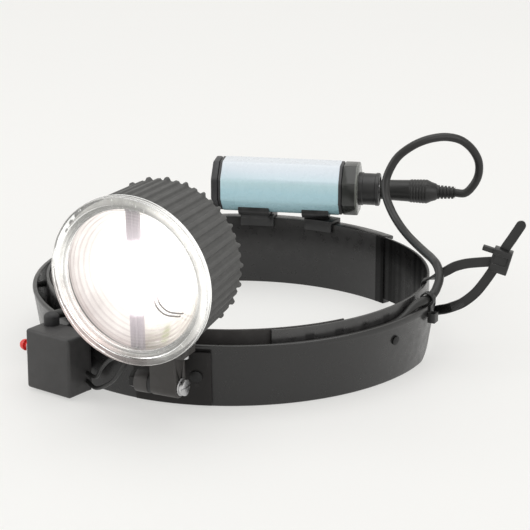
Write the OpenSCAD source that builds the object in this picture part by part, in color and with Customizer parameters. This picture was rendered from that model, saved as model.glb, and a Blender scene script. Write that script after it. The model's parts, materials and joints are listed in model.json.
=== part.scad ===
// Miner's cap lamp: a tilting lamp head and a switch box on a two-part slotted headband, with a
// round battery pack clipped to the back of the band and one cable from the pack to the box.
// Origin: centre of the band's round half, on the plane that the band stands on.
// The lamp looks along -Y, the wearer's left side is +X and +Z is up. All lengths are millimetres.
//
// The band's inner line is four tangent arcs. Places along it are given as angles of the outward
// normal, measured from the oval's long axis, and as offsets outward from that inner line.

/* [Headband] */
// Inner radius of the band's round half
band_r = 87.5; // [84:0.5:92]
// How much farther the band reaches at its stretched ear side
ear_stretch = 5.5; // [3:0.5:8]
// Tangent of half the angle that the tight arc at the ear side spans
ear_arc_slope = 0.75; // [0.65:0.05:0.9]
// Turn of the oval's long axis away from the wearer's left
band_skew = 26; // [15:1:35]
// Height of the rear moulding, from its bottom flange to its top flange
band_h = 35; // [33:0.5:38]
// Thickness of the rear moulding's inner wall
rear_wall_t = 2; // [1.6:0.1:2.6]
// Reach of the rear moulding's top flange
rear_flange_w = 6.5; // [5.5:0.1:9]
// Reach of the rear moulding's bottom flange
rear_foot_w = 4.5; // [3.5:0.1:6]
// Thickness of both flanges and of the front moulding's bottom web
flange_t = 1.8; // [1.4:0.1:2.4]
// Thickness of the two sizing tongues
tongue_t = 1.3; // [1:0.1:1.3]
// Play between the tongues' lower edge and the front moulding's web
tongue_play = 0.6; // [0.3:0.1:5]
// Diameter of the sizing holes
sizing_hole_d = 3.2; // [3:0.1:4]
// Distance between sizing holes along the tongue
sizing_pitch = 13; // [9:0.5:14]

/* [Front moulding] */
// Height of the front moulding's outer wall
front_h = 30.6; // [29:0.2:31.5]
// Wall thickness of the front moulding
front_wall_t = 1.8; // [1.4:0.1:2]
// Offset of the outer wall's face at the bottom
front_foot = 4; // [3.6:0.1:4.6]
// How far the outer wall leans out from the bottom to the top
front_lean = 4.7; // [4.4:0.1:6]
// Height of the bead along the wall's upper edge
bead_h = 2.2; // [1.4:0.2:3]
// How far the bead stands out of the wall's face
bead_out = 0.2; // [0.1:0.1:0.6]
// Radius of the cut-away lower corners at the wall's ends
end_corner_r = 8; // [4:1:10]
// Thickness of the soft brow liner
liner_t = 1.3; // [1:0.1:1.3]
// Head diameter of the sizing studs
stud_head_d = 4.3; // [4:0.1:6]
// Shank diameter of the sizing studs
stud_d = 2.8; // [2:0.1:2.9]

/* [Lamp mount] */
// Thickness of the bracket plate on the band's face
plate_t = 1.8; // [1.4:0.1:3]
// Height of the bracket plate's upper edge
plate_top = 27.5; // [25:0.5:28]
// Height of the tilt axis above the band's foot
hinge_z = 15.4; // [14:0.2:16]
// Distance from the plate's face to the tilt axis
ear_reach = 9.6; // [9:0.2:13]
// Radius of the ear and of the knuckle
ear_r = 5.2; // [4.8:0.1:5.6]
// Distance of the ear's near side from the wearer's centre plane
ear_x = 6.4; // [5:0.2:8]
// Thickness of the ear
ear_w = 6.5; // [5:0.5:8]
// Thickness of the friction washer between the ear and the knuckle
friction_t = 1.8; // [1:0.2:2.4]
// Width of the knuckle
knuckle_w = 12.7; // [10:0.1:15]
// Diameter of the hinge screw
hinge_d = 4; // [3:0.5:5]

/* [Lamp head] */
// How far the beam points down at rest, in degrees
lamp_pitch = 2.5; // [0:0.5:4]
// Distance of the lamp's axis from the wearer's centre plane
lamp_x = 17.4; // [16:0.2:20]
// Height of the lamp's axis above the tilt axis
lamp_rise = 56.2; // [56:0.2:60]
// Distance from the lens ring's front to the tilt axis
lamp_ahead = 25.2; // [24:0.2:27]
// Outer radius of the clear lens ring
ring_r = 38; // [37.4:0.2:39]
// Thickness of the clear lens ring
ring_t = 4.4; // [3.8:0.2:5]
// Radius of the free lens face inside the ring
window_r = 31.6; // [30:0.2:31.8]
// Thickness of the lens
lens_t = 1.4; // [1:0.1:1.6]
// Thickness of the seal behind the ring
seal_t = 0.8; // [0.5:0.1:1.2]
// Length of the ribbed housing
housing_len = 33.8; // [32:0.2:38]
// Radius in the housing's grooves at its front end
housing_front_r = 36.2; // [35.8:0.1:36.8]
// Radius in the housing's grooves at its rear end
housing_rear_r = 33.8; // [33.4:0.1:35]
// Wall thickness of the housing below its grooves
housing_wall = 2.2; // [1.8:0.1:2.4]
// Number of ribs around the housing
rib_count = 48; // [36:4:60]
// Height of the ribs
rib_h = 1; // [0.6:0.1:1.4]
// Width of a rib at its crest
rib_w = 1.5; // [1:0.1:1.8]
// Length of the grip bumps at the housing's rear rim
bump_len = 2.6; // [2:0.2:4]
// Depth of the reflector bowl
bowl_depth = 17; // [14:0.5:18]
// Wall thickness of the reflector bowl
bowl_t = 1.2; // [0.8:0.1:1.6]
// Width of the bridge that carries the light source
bridge_w = 6.2; // [5:0.2:8]
// Height of the rear cover's dome
dome_h = 4.5; // [3:0.5:5]

/* [Switch box] */
// Width of the switch box across its front
box_w = 26.4; // [24:0.2:26.8]
// Depth of the switch box
box_d = 15.8; // [14:0.2:15.8]
// Height of the switch box
box_h = 28.4; // [26:0.2:30]
// Height of the box's underside above the band's foot
box_z = 1; // [0.6:0.2:2]
// Wall thickness of the switch box
box_wall = 1.6; // [1.2:0.1:2]
// Radius of the box's edges
box_edge_r = 1.5; // [1:0.1:2]
// Diameter of the push button's cap
button_d = 5.4; // [4.6:0.2:6]
// Travel of the push button
button_travel = 2.2; // [1:0.2:2.4]

/* [Battery pack] */
// Width of the octagonal case across its flats
pack_w = 26; // [25.6:0.2:27]
// Diameter of the cell inside
cell_d = 18.4; // [18:0.1:18.6]
// Length of the cell without its button
cell_len = 65; // [64.6:0.1:65.4]
// Wall between the case's bore and the cell
cell_play = 0.4; // [0.3:0.1:0.6]
// Thickness of the printed sleeve
label_t = 0.2; // [0.15:0.05:0.25]
// Turn of the pack's long axis about the up axis
pack_yaw = 17; // [14:1:20]
// Height of the pack's axis above the band's foot
pack_z = 52.5; // [52.5:0.5:56]
// Width of the left clip
clip_left_w = 16; // [12:1:18]
// Width of the right clip
clip_right_w = 14; // [12:1:18]
// Distance of each clip from the pack's middle
clip_at = 16; // [14:1:20]
// Wall thickness of the clips
clip_t = 1.8; // [1.4:0.1:1.8]
// Outer diameter of the charging socket
socket_d = 17; // [15:0.5:18]
// Bore diameter of the socket's contact sleeve
jack_bore_d = 5.6; // [5.55:0.05:5.7]

/* [Cable and ties] */
// Diameter of the cable
cable_d = 4.2; // [3.6:0.1:4.2]
// Diameter of each of the two thin lamp leads
lead_d = 1.8; // [1.4:0.1:2]
// Thickness of the small tie's strap
small_tie_t = 0.8; // [0.6:0.1:0.9]
// Width of the small tie's strap
small_tie_w = 3.2; // [2.4:0.1:3.4]
// Thickness of the large tie's strap
big_tie_t = 1.2; // [1:0.1:1.4]
// Width of the large tie's strap
big_tie_w = 4.7; // [4:0.1:5]

/* [Hidden] */
$fn = 96;

gap = 0.05;                     // play between pieces that touch but don't grip
fit_gap = 0.3;                  // free gap between layers of the band
over = 1;                       // how far a cutting tool reaches past what it cuts
black = [0.09, 0.09, 0.1];
dark = [0.16, 0.16, 0.17];
steel = [0.72, 0.72, 0.74];
clear = [0.88, 0.93, 0.95, 0.4];

// The four arcs: from angle, to angle, radius, centre x, centre y
ear_arc = atan(ear_arc_slope);
arc_step = ear_stretch / (sin(ear_arc) + cos(ear_arc) - 1);
side_shift = arc_step * sin(ear_arc);
side_r = band_r + side_shift;
tight_r = side_r - arc_step;
tight_x = arc_step * cos(ear_arc);
BAND_ARCS = [
    [-90, -ear_arc, side_r, 0, side_shift],
    [-ear_arc, ear_arc, tight_r, tight_x, 0],
    [ear_arc, 90, side_r, 0, -side_shift],
    [90, 270, band_r, 0, 0]];

function turned(phi) = phi - 360 * floor((phi + 90) / 360);
function arc_of(phi) = [for (a = BAND_ARCS) if (turned(phi) >= a[0] && turned(phi) < a[1]) a][0];
function spin(p, angle) = [p[0] * cos(angle) - p[1] * sin(angle), p[0] * sin(angle) + p[1] * cos(angle)];
// A point by the band: angle, offset outward from the inner line, height
function band_point(phi, off, z) = let (a = arc_of(phi), r = a[2] + off)
    concat(spin([a[3] + r * cos(phi), a[4] + r * sin(phi)], band_skew), [z]);
function band_xy(phi, off) = let (p = band_point(phi, off, 0)) [p[0], p[1]];

// Where the mouldings begin and end around the oval
rear_from = 38;
rear_to = 122;
right_tongue_from = -79;
left_tongue_to = 207;
front_from = 152;
front_to = 339.5;
liner_from = 182;
liner_to = 302.5;
plate_from = 243;
plate_to = 265;
right_stud = -43;
left_stud = 168;
small_tie_at = -25.5;
big_tie_at = -13;
rivet_angles = [245.8, 261];

tongue_in = 0.6;
tongue_out = tongue_in + tongue_t;
tongue_z = flange_t + tongue_play;
wall_slope = front_lean / front_h;
wall_tilt = atan(wall_slope);
function wall_out(z) = front_foot + wall_slope * z;
function wall_in(z) = wall_out(z) - front_wall_t;
sizing_step = sizing_pitch / band_r * 180 / PI;
stud_z = 21;
sizing_z = stud_z + wall_slope * (wall_out(stud_z) - tongue_out);
rivet_z = 16;
rivet_d = 3;
rivet_head_h = 0.6;
slot_z = 23.7;
slot_h = 2.5;
big_slot_z = 19.4;
big_slot_h = 2.4;
cable_z = 27.3;                             // height of the cable in its groove
cable_over = [7.3, 32.9];                   // offset and height of the cable where the small tie holds it
groove = (tongue_out + wall_in(cable_z)) / 2;   // middle of the groove that the cable lies in

hinge_y = -(band_r + wall_out(hinge_z) + plate_t + ear_reach);
knuckle_x = ear_x + ear_w + friction_t;
knuckle_in = knuckle_x - lamp_x;            // the knuckle's near side, from the lamp's axis
pad_y = -housing_front_r - rib_h - 0.4;     // flat underside of the housing's pad, from the lamp's axis
flange_y = pad_y - 3;                       // underside of the foot's flange
foot_screw_x = [knuckle_in - 2.5, knuckle_in + knuckle_w + 2.5];
gland_x = -13;
gland_z = -18;

ring_back = -ring_t;
seal_back = ring_back - seal_t;
housing_back = seal_back - housing_len;
flange_front = seal_back - 3.2;             // face of the reflector's rim
flange_back = flange_front - 1;
bridge_front = flange_front + 2;
function groove_r(z) = housing_front_r
    - (housing_front_r - housing_rear_r) * (seal_back - z) / housing_len;
function inner_r(z) = groove_r(z) - housing_wall;
seat_r = inner_r(seal_back);                // bore in front of the reflector's ledge
bowl_r = inner_r(flange_front) - 3.8;
bridge_screw_y = inner_r(flange_front) - 1.4;
ledge_r = bridge_screw_y - 1;
ledge_t = 1.5;
board_front = flange_back - bowl_depth - 4;
board_t = 1.6;
boss_r = housing_rear_r - housing_wall - 2;   // circle of the rear posts
post_angles = [30, 150, 270];

box_corner = band_xy(-143.3, box_d + 13.1);
box_yaw = -11.5;
button_y = 6.5;
button_z = 17.5;
bushing_d = 6;
button_stem_d = 3.4;
stem_len = 4;                               // how far the stem reaches into the box
button_cap_len = 3.4;
button_out = 3.2 + button_travel + button_cap_len;   // reach of the cap in front of the box

cover_t = 1.6;
cover_posts = [[3.6, 3.6], [box_w - 3.6, box_h - 3.6]];
screw_sink = 0.9;
lead_holes = [5.5, 9.5];

boot_at = [5.5, 11.9];
boot_d = 7.2;
boot_h = 6.2;
boot_dome_r = 4.1;
boot_z = 33.2;                              // height of the cable's axis in the boot
mouth_in = 1.7;
boot_mouth = concat(spin(boot_at + [0, mouth_in], box_yaw) + box_corner, [boot_z]);
boot_turn = 8;                              // radius of the cable's bend into the boot
function boot_bend(a) = concat(spin(boot_at + [boot_turn, mouth_in + 1] + boot_turn * [cos(a), sin(a)],
    box_yaw) + box_corner, [boot_z]);

octagon_turn = 22.5;
pack_at = band_xy(74.1, 2);
cell_from = -32;
case_from = -34;
case_to = 30;
left_cap_len = 3.5;
right_cap_to = 38;
socket_to = 48.5;
bore_d = cell_d + 2 * cell_play;
plug_neck_to = 51.5;
plug_to = 78;
relief_to = 87;
function pack_point(u, v, w) = concat(spin([u, v], pack_yaw) + pack_at, [pack_z + w]);

cable_entry = band_point(-20.7, 8.9, 36);
last_free = band_point(-18.7, 9.2, 38.5);
// Centre line of the cable's free run, from the plug to the end of the front moulding: first its loop
// about the pack, then along the band
PACK_LOOP = [[96, 0.5, 4], [98.5, 1, 9.5], [98.5, 0, 17], [95, -2, 24], [89.5, -4.5, 29], [83, -7, 31],
    [77, -9.5, 31], [70.5, -12, 29.5], [64.5, -14, 26.5], [59, -15.5, 22], [55.5, -17.5, 16.5],
    [53.5, -19.5, 10.5], [54, -23.5, 4], [57, -29, -1.5]];
BAND_RUN = [[29.7, -0.3, 46.2], [22.2, -1.3, 43.3], [12, -2, 42.8], [1.1, -0.4, 43.3], [-8.1, 3.2, 44.1],
    [-14, 6.6, 43.8], [-16.6, 8.6, 41.2]];
CORD_ROUTE = concat([pack_point(relief_to, 0, 0), pack_point(relief_to + 5, 0, 0)],
    [for (p = PACK_LOOP) pack_point(p[0], p[1], p[2])], [for (p = BAND_RUN) band_point(p[0], p[1], p[2])],
    [last_free, cable_entry]);
// Centre line of the held cable: over the wall under the small tie, down into its groove behind the
// wall and up again into the box
HELD_ROUTE = concat([cable_entry, 1.2 * cable_entry - 0.2 * last_free],
    [for (p = [[-22.9, 8, 33.6], [small_tie_at, cable_over[0], cable_over[1]], [-28, 6.5, 32.9],
        [-30.5, 5.2, 32.4], [-33, 4.4, 31.2], [-36, 4.2, 29.4], [-39.5, 4.2, 27.9]])
        band_point(p[0], p[1], p[2])],
    [for (phi = [-43:-6:-121]) band_point(phi, groove, cable_z)],
    [band_point(-129, groove, 29.8), boot_bend(80) - [0, 0, 0.8]],
    [for (a = [105:25:180]) boot_bend(a)], [boot_mouth]);

// Large tie, in the radial plane at big_tie_at: offset, height, twist of the strap's face
BIG_TIE_ROUTE = [[32.4, 47.2, 90], [26.3, 46.4, 90], [20.1, 45.3, 90], [15.4, 43.7, 88], [10.8, 40.9, 78],
    [6.9, 38.3, 50], [3.5, 36.7, 22], [1.2, 36, 0], [-0.2, 35, 0], [-0.3, 30, 0], [-0.3, 24, 0],
    [-0.1, 21.4, 0], [1.2, 20.6, 0], [3.5, 20.5, 15], [7.6, 21.2, 55], [13.5, 23, 80],
    [19.7, 26.3, 90], [24.8, 31, 90], [28.9, 36.6, 90], [33.4, 43.9, 90]];
TIE_TAIL = [[36.5, 47, 90], [37.6, 52.5, 90], [41.5, 59.3, 90], [46.5, 67.8, 90]];

// A tube of n sides along points, its rings square to the path
module tube_along(points, d, n) {
    last = len(points) - 1;
    function along(i) = let (v = points[min(i + 1, last)] - points[max(i - 1, 0)]) v / norm(v);
    function side(i) = let (v = cross(along(i), [0, 0.1, 1])) v / norm(v);
    rings = [for (i = [0:last]) let (s = side(i), t = cross(s, along(i)))
        for (k = [0:n - 1]) points[i] + d / 2 * (cos(360 * k / n) * s + sin(360 * k / n) * t)];
    skin = [for (i = [0:last - 1], k = [0:n - 1]) let (a = i * n + k, b = i * n + (k + 1) % n)
        each [[a, b, b + n], [a, b + n, a + n]]];
    near_end = [for (k = [1:n - 2]) [0, k + 1, k]];
    far_end = [for (k = [1:n - 2]) [last * n, last * n + k, last * n + k + 1]];
    polyhedron(rings, concat(skin, near_end, far_end));
}

// A flat strap along [x, z, twist] stations in the XZ plane; twist turns its face out of the Y axis
module strap_along(stations, w, t) {
    last = len(stations) - 1;
    function at(i) = [stations[i][0], 0, stations[i][1]];
    function along(i) = let (v = at(min(i + 1, last)) - at(max(i - 1, 0))) v / norm(v);
    function across(i) = let (a = stations[i][2], n = cross(along(i), [0, 1, 0])) cos(a) * [0, 1, 0] + sin(a) * n;
    rings = [for (i = [0:last]) let (u = across(i) * w / 2, v = cross(along(i), across(i)) * t / 2)
        each [at(i) + u + v, at(i) - u + v, at(i) - u - v, at(i) + u - v]];
    skin = [for (i = [0:last - 1], k = [0:3]) let (a = 4 * i + k, b = 4 * i + (k + 1) % 4)
        each [[a, b + 4, b], [a, a + 4, b + 4]]];
    polyhedron(rings, concat(skin, [[0, 1, 2], [0, 2, 3], [4 * last, 4 * last + 2, 4 * last + 1],
        [4 * last, 4 * last + 3, 4 * last + 2]]));
}

// The sector between two angles, up to half a turn, as a tall prism
module sector(lo, hi) {
    reach = 3 * band_r;
    translate([0, 0, -reach / 2])
        linear_extrude(reach)
            polygon(concat([[0, 0]], [for (k = [0:3]) let (a = lo + (hi - lo) * k / 3) reach * [cos(a), sin(a)]]));
}

// Sweeps a profile (x = offset outward, y = height) along the band between two angles
module band_sweep(from, to) {
    rotate([0, 0, band_skew])
        for (whole = [-360, 0, 360], a = BAND_ARCS) {
            lo = max(from, a[0] + whole);
            hi = min(to, a[1] + whole);
            if (hi - lo > 0.01)
                translate([a[3], a[4], 0])
                    intersection() {
                        rotate_extrude()
                            translate([a[2], 0])
                                children();
                        sector(lo, hi);
                    }
        }
}

// Places a piece by the band, its +X pointing outward
module at_band(phi, off = 0, z = 0) {
    a = arc_of(phi);
    rotate([0, 0, band_skew])
        translate([a[3], a[4], z])
            rotate([0, 0, phi])
                translate([a[2] + off, 0, 0])
                    children();
}

// Places a piece on the front wall's outer face, its +X square to the leaning face
module on_wall(phi, z) {
    at_band(phi, wall_out(z), z)
        rotate([0, wall_tilt, 0])
            children();
}

module box_profile(from, to) {
    translate(from)
        square(to - from);
}

module rod(d, from, to) {
    translate([0, 0, from])
        cylinder(d = d, h = to - from);
}

// A bar of round section along +X, from one x to another
module x_rod(d, from, to) {
    rotate([0, 90, 0])
        rod(d, from, to);
}

module disc_ring(r_out, r_in, from, to) {
    difference() {
        rod(2 * r_out, from, to);
        rod(2 * r_in, from - over, to + over);
    }
}

module rounded_plate(w, h, t, r) {
    linear_extrude(t) {
        translate([r, 0])
            square([w - 2 * r, h]);
        translate([0, r])
            square([w, h - 2 * r]);
        for (x = [r, w - r], y = [r, h - r])
            translate([x, y])
                circle(r, $fn = 24);
    }
}

// A block with all twelve edges rounded
module soft_block(size, r) {
    intersection() {
        rounded_plate(size[0], size[1], size[2], r);
        translate([0, size[1], 0])
            rotate([90, 0, 0])
                rounded_plate(size[0], size[2], size[1], r);
        rotate([90, 0, 90])
            rounded_plate(size[1], size[2], size[0], r);
    }
}

module hex_nut(across, bore, t) {
    difference() {
        cylinder(d = across / cos(30), h = t, $fn = 6);
        rod(bore, -over, t + over);
    }
}

// A screw along +Z: its head stands on z = 0 and its shank goes down
module screw(d, len, head_d, head_h) {
    difference() {
        union() {
            rod(d, -len, 0);
            rod(head_d, 0, head_h);
        }
        translate([-head_d * 0.32, -head_d * 0.07, head_h * 0.55])
            cube([head_d * 0.64, head_d * 0.14, head_h]);
        translate([-head_d * 0.07, -head_d * 0.32, head_h * 0.55])
            cube([head_d * 0.14, head_d * 0.64, head_h]);
    }
}

// ---- headband ----

module tongue(from, to, holes) {
    difference() {
        band_sweep(from, to)
            box_profile([tongue_in, tongue_z], [tongue_out, band_h]);
        for (phi = holes)
            at_band(phi, 0, sizing_z)
                x_rod(sizing_hole_d, -over, tongue_out + over);
    }
}

module rear_band() {
    color(black) {
        band_sweep(rear_from, rear_to)
            polygon([[0, 0], [rear_foot_w, 0], [rear_foot_w, flange_t], [rear_wall_t, flange_t],
                [rear_wall_t, band_h - flange_t], [rear_flange_w, band_h - flange_t],
                [rear_flange_w, band_h], [0, band_h]]);
        difference() {
            tongue(right_tongue_from, rear_from + 1, [for (k = [-5:6]) right_stud + k * sizing_step]);
            at_band(big_tie_at, tongue_in - over, big_slot_z)
                translate([0, -big_tie_w / 2 - fit_gap, 0])
                    cube([tongue_t + 2 * over, big_tie_w + 2 * fit_gap, big_slot_h]);
        }
        tongue(rear_to - 1, left_tongue_to, [for (k = [-5:4]) left_stud + k * sizing_step]);
    }
}

module front_wall_profile(out = 0) {
    polygon([[-1, 0], [front_foot + out, 0], [wall_out(front_h - bead_h) + out, front_h - bead_h],
        [wall_out(front_h - bead_h) + bead_out + out, front_h - bead_h + bead_out],
        [wall_out(front_h - bead_h) + bead_out + out, front_h],
        [wall_in(front_h - bead_h), front_h],
        [wall_in(front_h - bead_h), front_h - bead_h], [wall_in(flange_t), flange_t], [-1, flange_t]]);
}

// Takes the lower corner off the wall's end; dir is the side that the material lies on
module end_corner(phi, dir) {
    at_band(phi, -2 * over, 0)
        rotate([90, 0, 90])
            linear_extrude(front_foot + front_lean + 4 * over)
                difference() {
                    translate([dir > 0 ? -over : -end_corner_r, -over])
                        square([end_corner_r + over, end_corner_r + over]);
                    translate([dir * end_corner_r, end_corner_r])
                        circle(end_corner_r);
                }
}

module front_band() {
    color(black)
        difference() {
            union() {
                band_sweep(front_from, front_to)
                    front_wall_profile();
                intersection() {
                    for (phi = rivet_angles)
                        on_wall(phi, rivet_z)
                            x_rod(8, -8, -front_wall_t / 2);
                    band_sweep(plate_from, plate_to)
                        box_profile([tongue_in - fit_gap + gap, flange_t], [front_foot + front_lean, front_h]);
                }
            }
            for (phi = rivet_angles)
                on_wall(phi, rivet_z)
                    x_rod(rivet_d + 4 * gap, -12, over);
            for (phi = [right_stud, left_stud])
                on_wall(phi, stud_z)
                    x_rod(stud_d + 2 * gap, -2 * front_wall_t, over);
            at_band(small_tie_at, wall_in(slot_z) - over, slot_z)
                translate([0, -small_tie_w / 2 - gap, 0])
                    cube([front_wall_t + 3 * over, small_tie_w + 2 * gap, slot_h]);
            end_corner(front_to, -1);
            end_corner(front_from, 1);
        }
}

module brow_liner() {
    color([0.2, 0.19, 0.19])
        difference() {
            band_sweep(liner_from, liner_to)
                box_profile([tongue_in - fit_gap - liner_t, flange_t], [tongue_in - fit_gap, band_h + 0.3]);
            for (phi = rivet_angles)
                on_wall(phi, rivet_z)
                    x_rod(rivet_d + 4 * gap, -12, 0);
        }
}

module size_studs() {
    color(dark)
        for (phi = [right_stud, left_stud])
            on_wall(phi, stud_z)
                rotate([0, 90, 0]) {
                    rod(stud_d, tongue_in - wall_out(stud_z), 0.2);
                    rod(stud_head_d, gap, 0.7);
                }
}

module lamp_bracket() {
    color(black)
        difference() {
            union() {
                band_sweep(plate_from, plate_to)
                    polygon([[wall_out(1) + gap, 1], [wall_out(1) + plate_t, 1],
                        [wall_out(plate_top) + plate_t, plate_top], [wall_out(plate_top) + gap, plate_top]]);
                difference() {
                    translate([ear_x, hinge_y, hinge_z - ear_r])
                        cube([ear_w, ear_reach + plate_t / 2 + 1.4, 2 * ear_r]);
                    rotate_extrude()
                        translate([band_r, 0])
                            polygon([[-10, 0], [wall_out(0) + gap, 0],
                                [wall_out(front_h) + gap, front_h], [-10, front_h]]);
                }
                translate([0, hinge_y, hinge_z])
                    x_rod(2 * ear_r, ear_x, ear_x + ear_w);
            }
            translate([0, hinge_y, hinge_z])
                x_rod(hinge_d + 2 * gap, ear_x - over, ear_x + ear_w + over);
            for (phi = rivet_angles)
                on_wall(phi, rivet_z)
                    x_rod(rivet_d + 4 * gap, -over, plate_t + 2 * over);
        }
}

module bracket_rivets() {
    color(dark)
        for (phi = rivet_angles)
            on_wall(phi, rivet_z)
                rotate([0, 90, 0]) {
                    rod(rivet_d, -wall_out(rivet_z) + 0.2, plate_t + 0.2);
                    rod(5.6, plate_t + gap, plate_t + gap + rivet_head_h);
                }
}

// ---- tilt joint ----

module at_hinge() {
    translate([0, hinge_y, hinge_z])
        children();
}

module hinge_screw() {
    color(steel)
        at_hinge()
            difference() {
                union() {
                    x_rod(hinge_d, ear_x - 4, knuckle_x + knuckle_w + 1);
                    x_rod(7.4, knuckle_x + knuckle_w + 0.8, knuckle_x + knuckle_w + 2.8);
                }
                translate([knuckle_x + knuckle_w + 2, -5, -0.5])
                    cube([2, 10, 1]);
            }
}

module hinge_nut() {
    color(steel)
        at_hinge()
            translate([ear_x - 3.2, 0, 0])
                rotate([0, 90, 0])
                    hex_nut(7, hinge_d + 2 * gap, 3.2 - gap);
}

module hinge_washer() {
    color([0.6, 0.6, 0.62])
        at_hinge()
            rotate([0, 90, 0])
                disc_ring(4, hinge_d / 2 + gap, knuckle_x + knuckle_w + gap, knuckle_x + knuckle_w + 0.8 - gap);
}

module friction_washer() {
    color(dark)
        at_hinge()
            rotate([0, 90, 0])
                disc_ring(ear_r - 0.4, hinge_d / 2 + gap, knuckle_x - friction_t, knuckle_x - gap);
}

// Everything in the lamp head is drawn about the lens ring's front centre: +Z is the beam, +Y up
module lamp_frame() {
    translate([lamp_x, hinge_y, hinge_z])
        rotate([90 + lamp_pitch, 0, 0])
            translate([0, lamp_rise, lamp_ahead])
                children();
}

function lamp_point(p) = let (a = 90 + lamp_pitch, y = p[1] + lamp_rise, z = p[2] + lamp_ahead)
    [p[0] + lamp_x, hinge_y + y * cos(a) - z * sin(a), hinge_z + y * sin(a) + z * cos(a)];

module tilt_foot() {
    color(black)
        lamp_frame()
            difference() {
                union() {
                    translate([0, -lamp_rise, -lamp_ahead])
                        x_rod(2 * ear_r, knuckle_in, knuckle_in + knuckle_w);
                    translate([knuckle_in, -lamp_rise, -lamp_ahead - ear_r])
                        cube([knuckle_w, lamp_rise + pad_y, 2 * ear_r]);
                    translate([foot_screw_x[0] - 2.4, flange_y, -lamp_ahead - 6.2])
                        cube([foot_screw_x[1] - foot_screw_x[0] + 4.8, pad_y - flange_y, 12.4]);
                }
                translate([0, -lamp_rise, -lamp_ahead])
                    x_rod(hinge_d + 2 * gap, knuckle_in - over, knuckle_in + knuckle_w + over);
                for (x = foot_screw_x)
                    translate([x, flange_y, -lamp_ahead])
                        rotate([90, 0, 0])
                            rod(2.3, -8, over);
            }
}

module foot_screws() {
    color(steel)
        lamp_frame()
            for (x = foot_screw_x)
                translate([x, flange_y - gap, -lamp_ahead])
                    rotate([90, 0, 0])
                        screw(2.2, 5.6, 4, 1.4);
}

// ---- lamp head ----

// Ribs along the housing's slightly conical face, cut level with its two ends
module housing_ribs() {
    root = 0.8;
    flare = atan((housing_front_r - housing_rear_r) / housing_len);
    intersection() {
        for (k = [0:rib_count - 1])
            rotate(k * 360 / rib_count)
                translate([housing_rear_r, 0, housing_back])
                    rotate([0, flare, 0])
                        translate([0, 0, -2])
                            linear_extrude(housing_len + 4)
                                polygon([[-root, -rib_w], [rib_h, -rib_w / 2], [rib_h, rib_w / 2], [-root, rib_w]]);
        rod(3 * housing_front_r, housing_back, seal_back);
    }
}

// Short grip bumps on every second rib at the rear rim
module housing_bumps() {
    for (k = [0:2:rib_count - 1])
        rotate(k * 360 / rib_count)
            translate([housing_rear_r - 0.7, -rib_w * 0.7, housing_back])
                cube([rib_h + 1.7, rib_w * 1.4, bump_len]);
}

module housing_pad(x_from, x_to, z_from, z_to) {
    translate([x_from, pad_y, z_from])
        cube([x_to - x_from, 9, z_to - z_from]);
}

module lamp_housing() {
    color([0.13, 0.13, 0.14])
        lamp_frame()
            difference() {
                union() {
                    translate([0, 0, housing_back])
                        cylinder(r1 = housing_rear_r, r2 = housing_front_r, h = housing_len);
                    housing_ribs();
                    housing_bumps();
                    housing_pad(-17.5, foot_screw_x[1] + 2.4, -lamp_ahead - 6.6, -lamp_ahead + 11.6);
                }
                difference() {
                    union() {
                        rod(2 * seat_r, flange_back, over);
                        translate([0, 0, housing_back - over])
                            cylinder(r1 = inner_r(housing_back - over), r2 = inner_r(flange_back + 0.5),
                                h = flange_back - housing_back + 0.5 + over);
                    }
                    disc_ring(seat_r + over, ledge_r, flange_back - ledge_t, flange_back);
                    for (a = post_angles)
                        rotate(a)
                            translate([boss_r, 0, 0])
                                rod(5.2, housing_back + 2.4, board_front - board_t);
                }
                for (a = post_angles)
                    rotate(a)
                        translate([boss_r, 0, 0])
                            rod(2, housing_back, board_front);
                for (x = foot_screw_x)
                    translate([x, pad_y, -lamp_ahead])
                        rotate([90, 0, 0])
                            rod(2.3, -2.8, over);
                translate([gland_x, pad_y, gland_z])
                    rotate([90, 0, 0])
                        rod(5.2, -12, over);
                for (y = [-1, 1])
                    translate([0, y * bridge_screw_y, 0])
                        rod(1.5, flange_back - ledge_t - over, flange_back + over);
            }
}

module rear_cover() {
    rim_r = groove_r(housing_back);
    dome_r = (rim_r * rim_r + dome_h * dome_h) / (2 * dome_h);
    color(black)
        lamp_frame()
            difference() {
                union() {
                    intersection() {
                        translate([0, 0, housing_back - dome_h + dome_r])
                            sphere(dome_r, $fn = 192);
                        rod(2 * rim_r, housing_back - dome_h - over, housing_back);
                    }
                    disc_ring(inner_r(housing_back) - gap, inner_r(housing_back) - 1.6, housing_back - 0.5,
                        housing_back + 2.2);
                }
                intersection() {
                    translate([0, 0, housing_back - dome_h + dome_r + 1.6])
                        sphere(dome_r, $fn = 192);
                    rod(2 * (inner_r(housing_back) - 1.6), housing_back - dome_h, housing_back + over);
                }
                for (a = post_angles)
                    rotate(a)
                        translate([boss_r, 0, 0])
                            rod(2.4, housing_back - dome_h - over, housing_back + 2 * over + 2);
                for (a = post_angles)
                    rotate(a)
                        translate([boss_r, 0, 0])
                            rod(4.8, housing_back - dome_h - over, housing_back - 1.1);
            }
}

module rear_cover_screws() {
    color(steel)
        lamp_frame()
            for (a = post_angles)
                rotate(a)
                    translate([boss_r, 0, housing_back - 1.1 - gap])
                        rotate([180, 0, 0])
                            screw(2, 5.4, 4.2, 1.2);
}

module lens_ring() {
    step_r = [ring_r - 3.2, ring_r - 4.6];
    color(clear)
        lamp_frame()
            rotate_extrude()
                polygon([[window_r + 1.1, ring_back], [ring_r, ring_back], [ring_r, -0.9], [ring_r - 0.3, -0.3],
                    [ring_r - 0.9, 0], [step_r[0], 0], [step_r[0] - 0.5, -0.9], [step_r[1], -0.9],
                    [step_r[1] - 0.5, -1.7], [window_r, -1.7], [window_r, ring_back + lens_t],
                    [window_r + 1.1, ring_back + lens_t]]);
}

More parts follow.
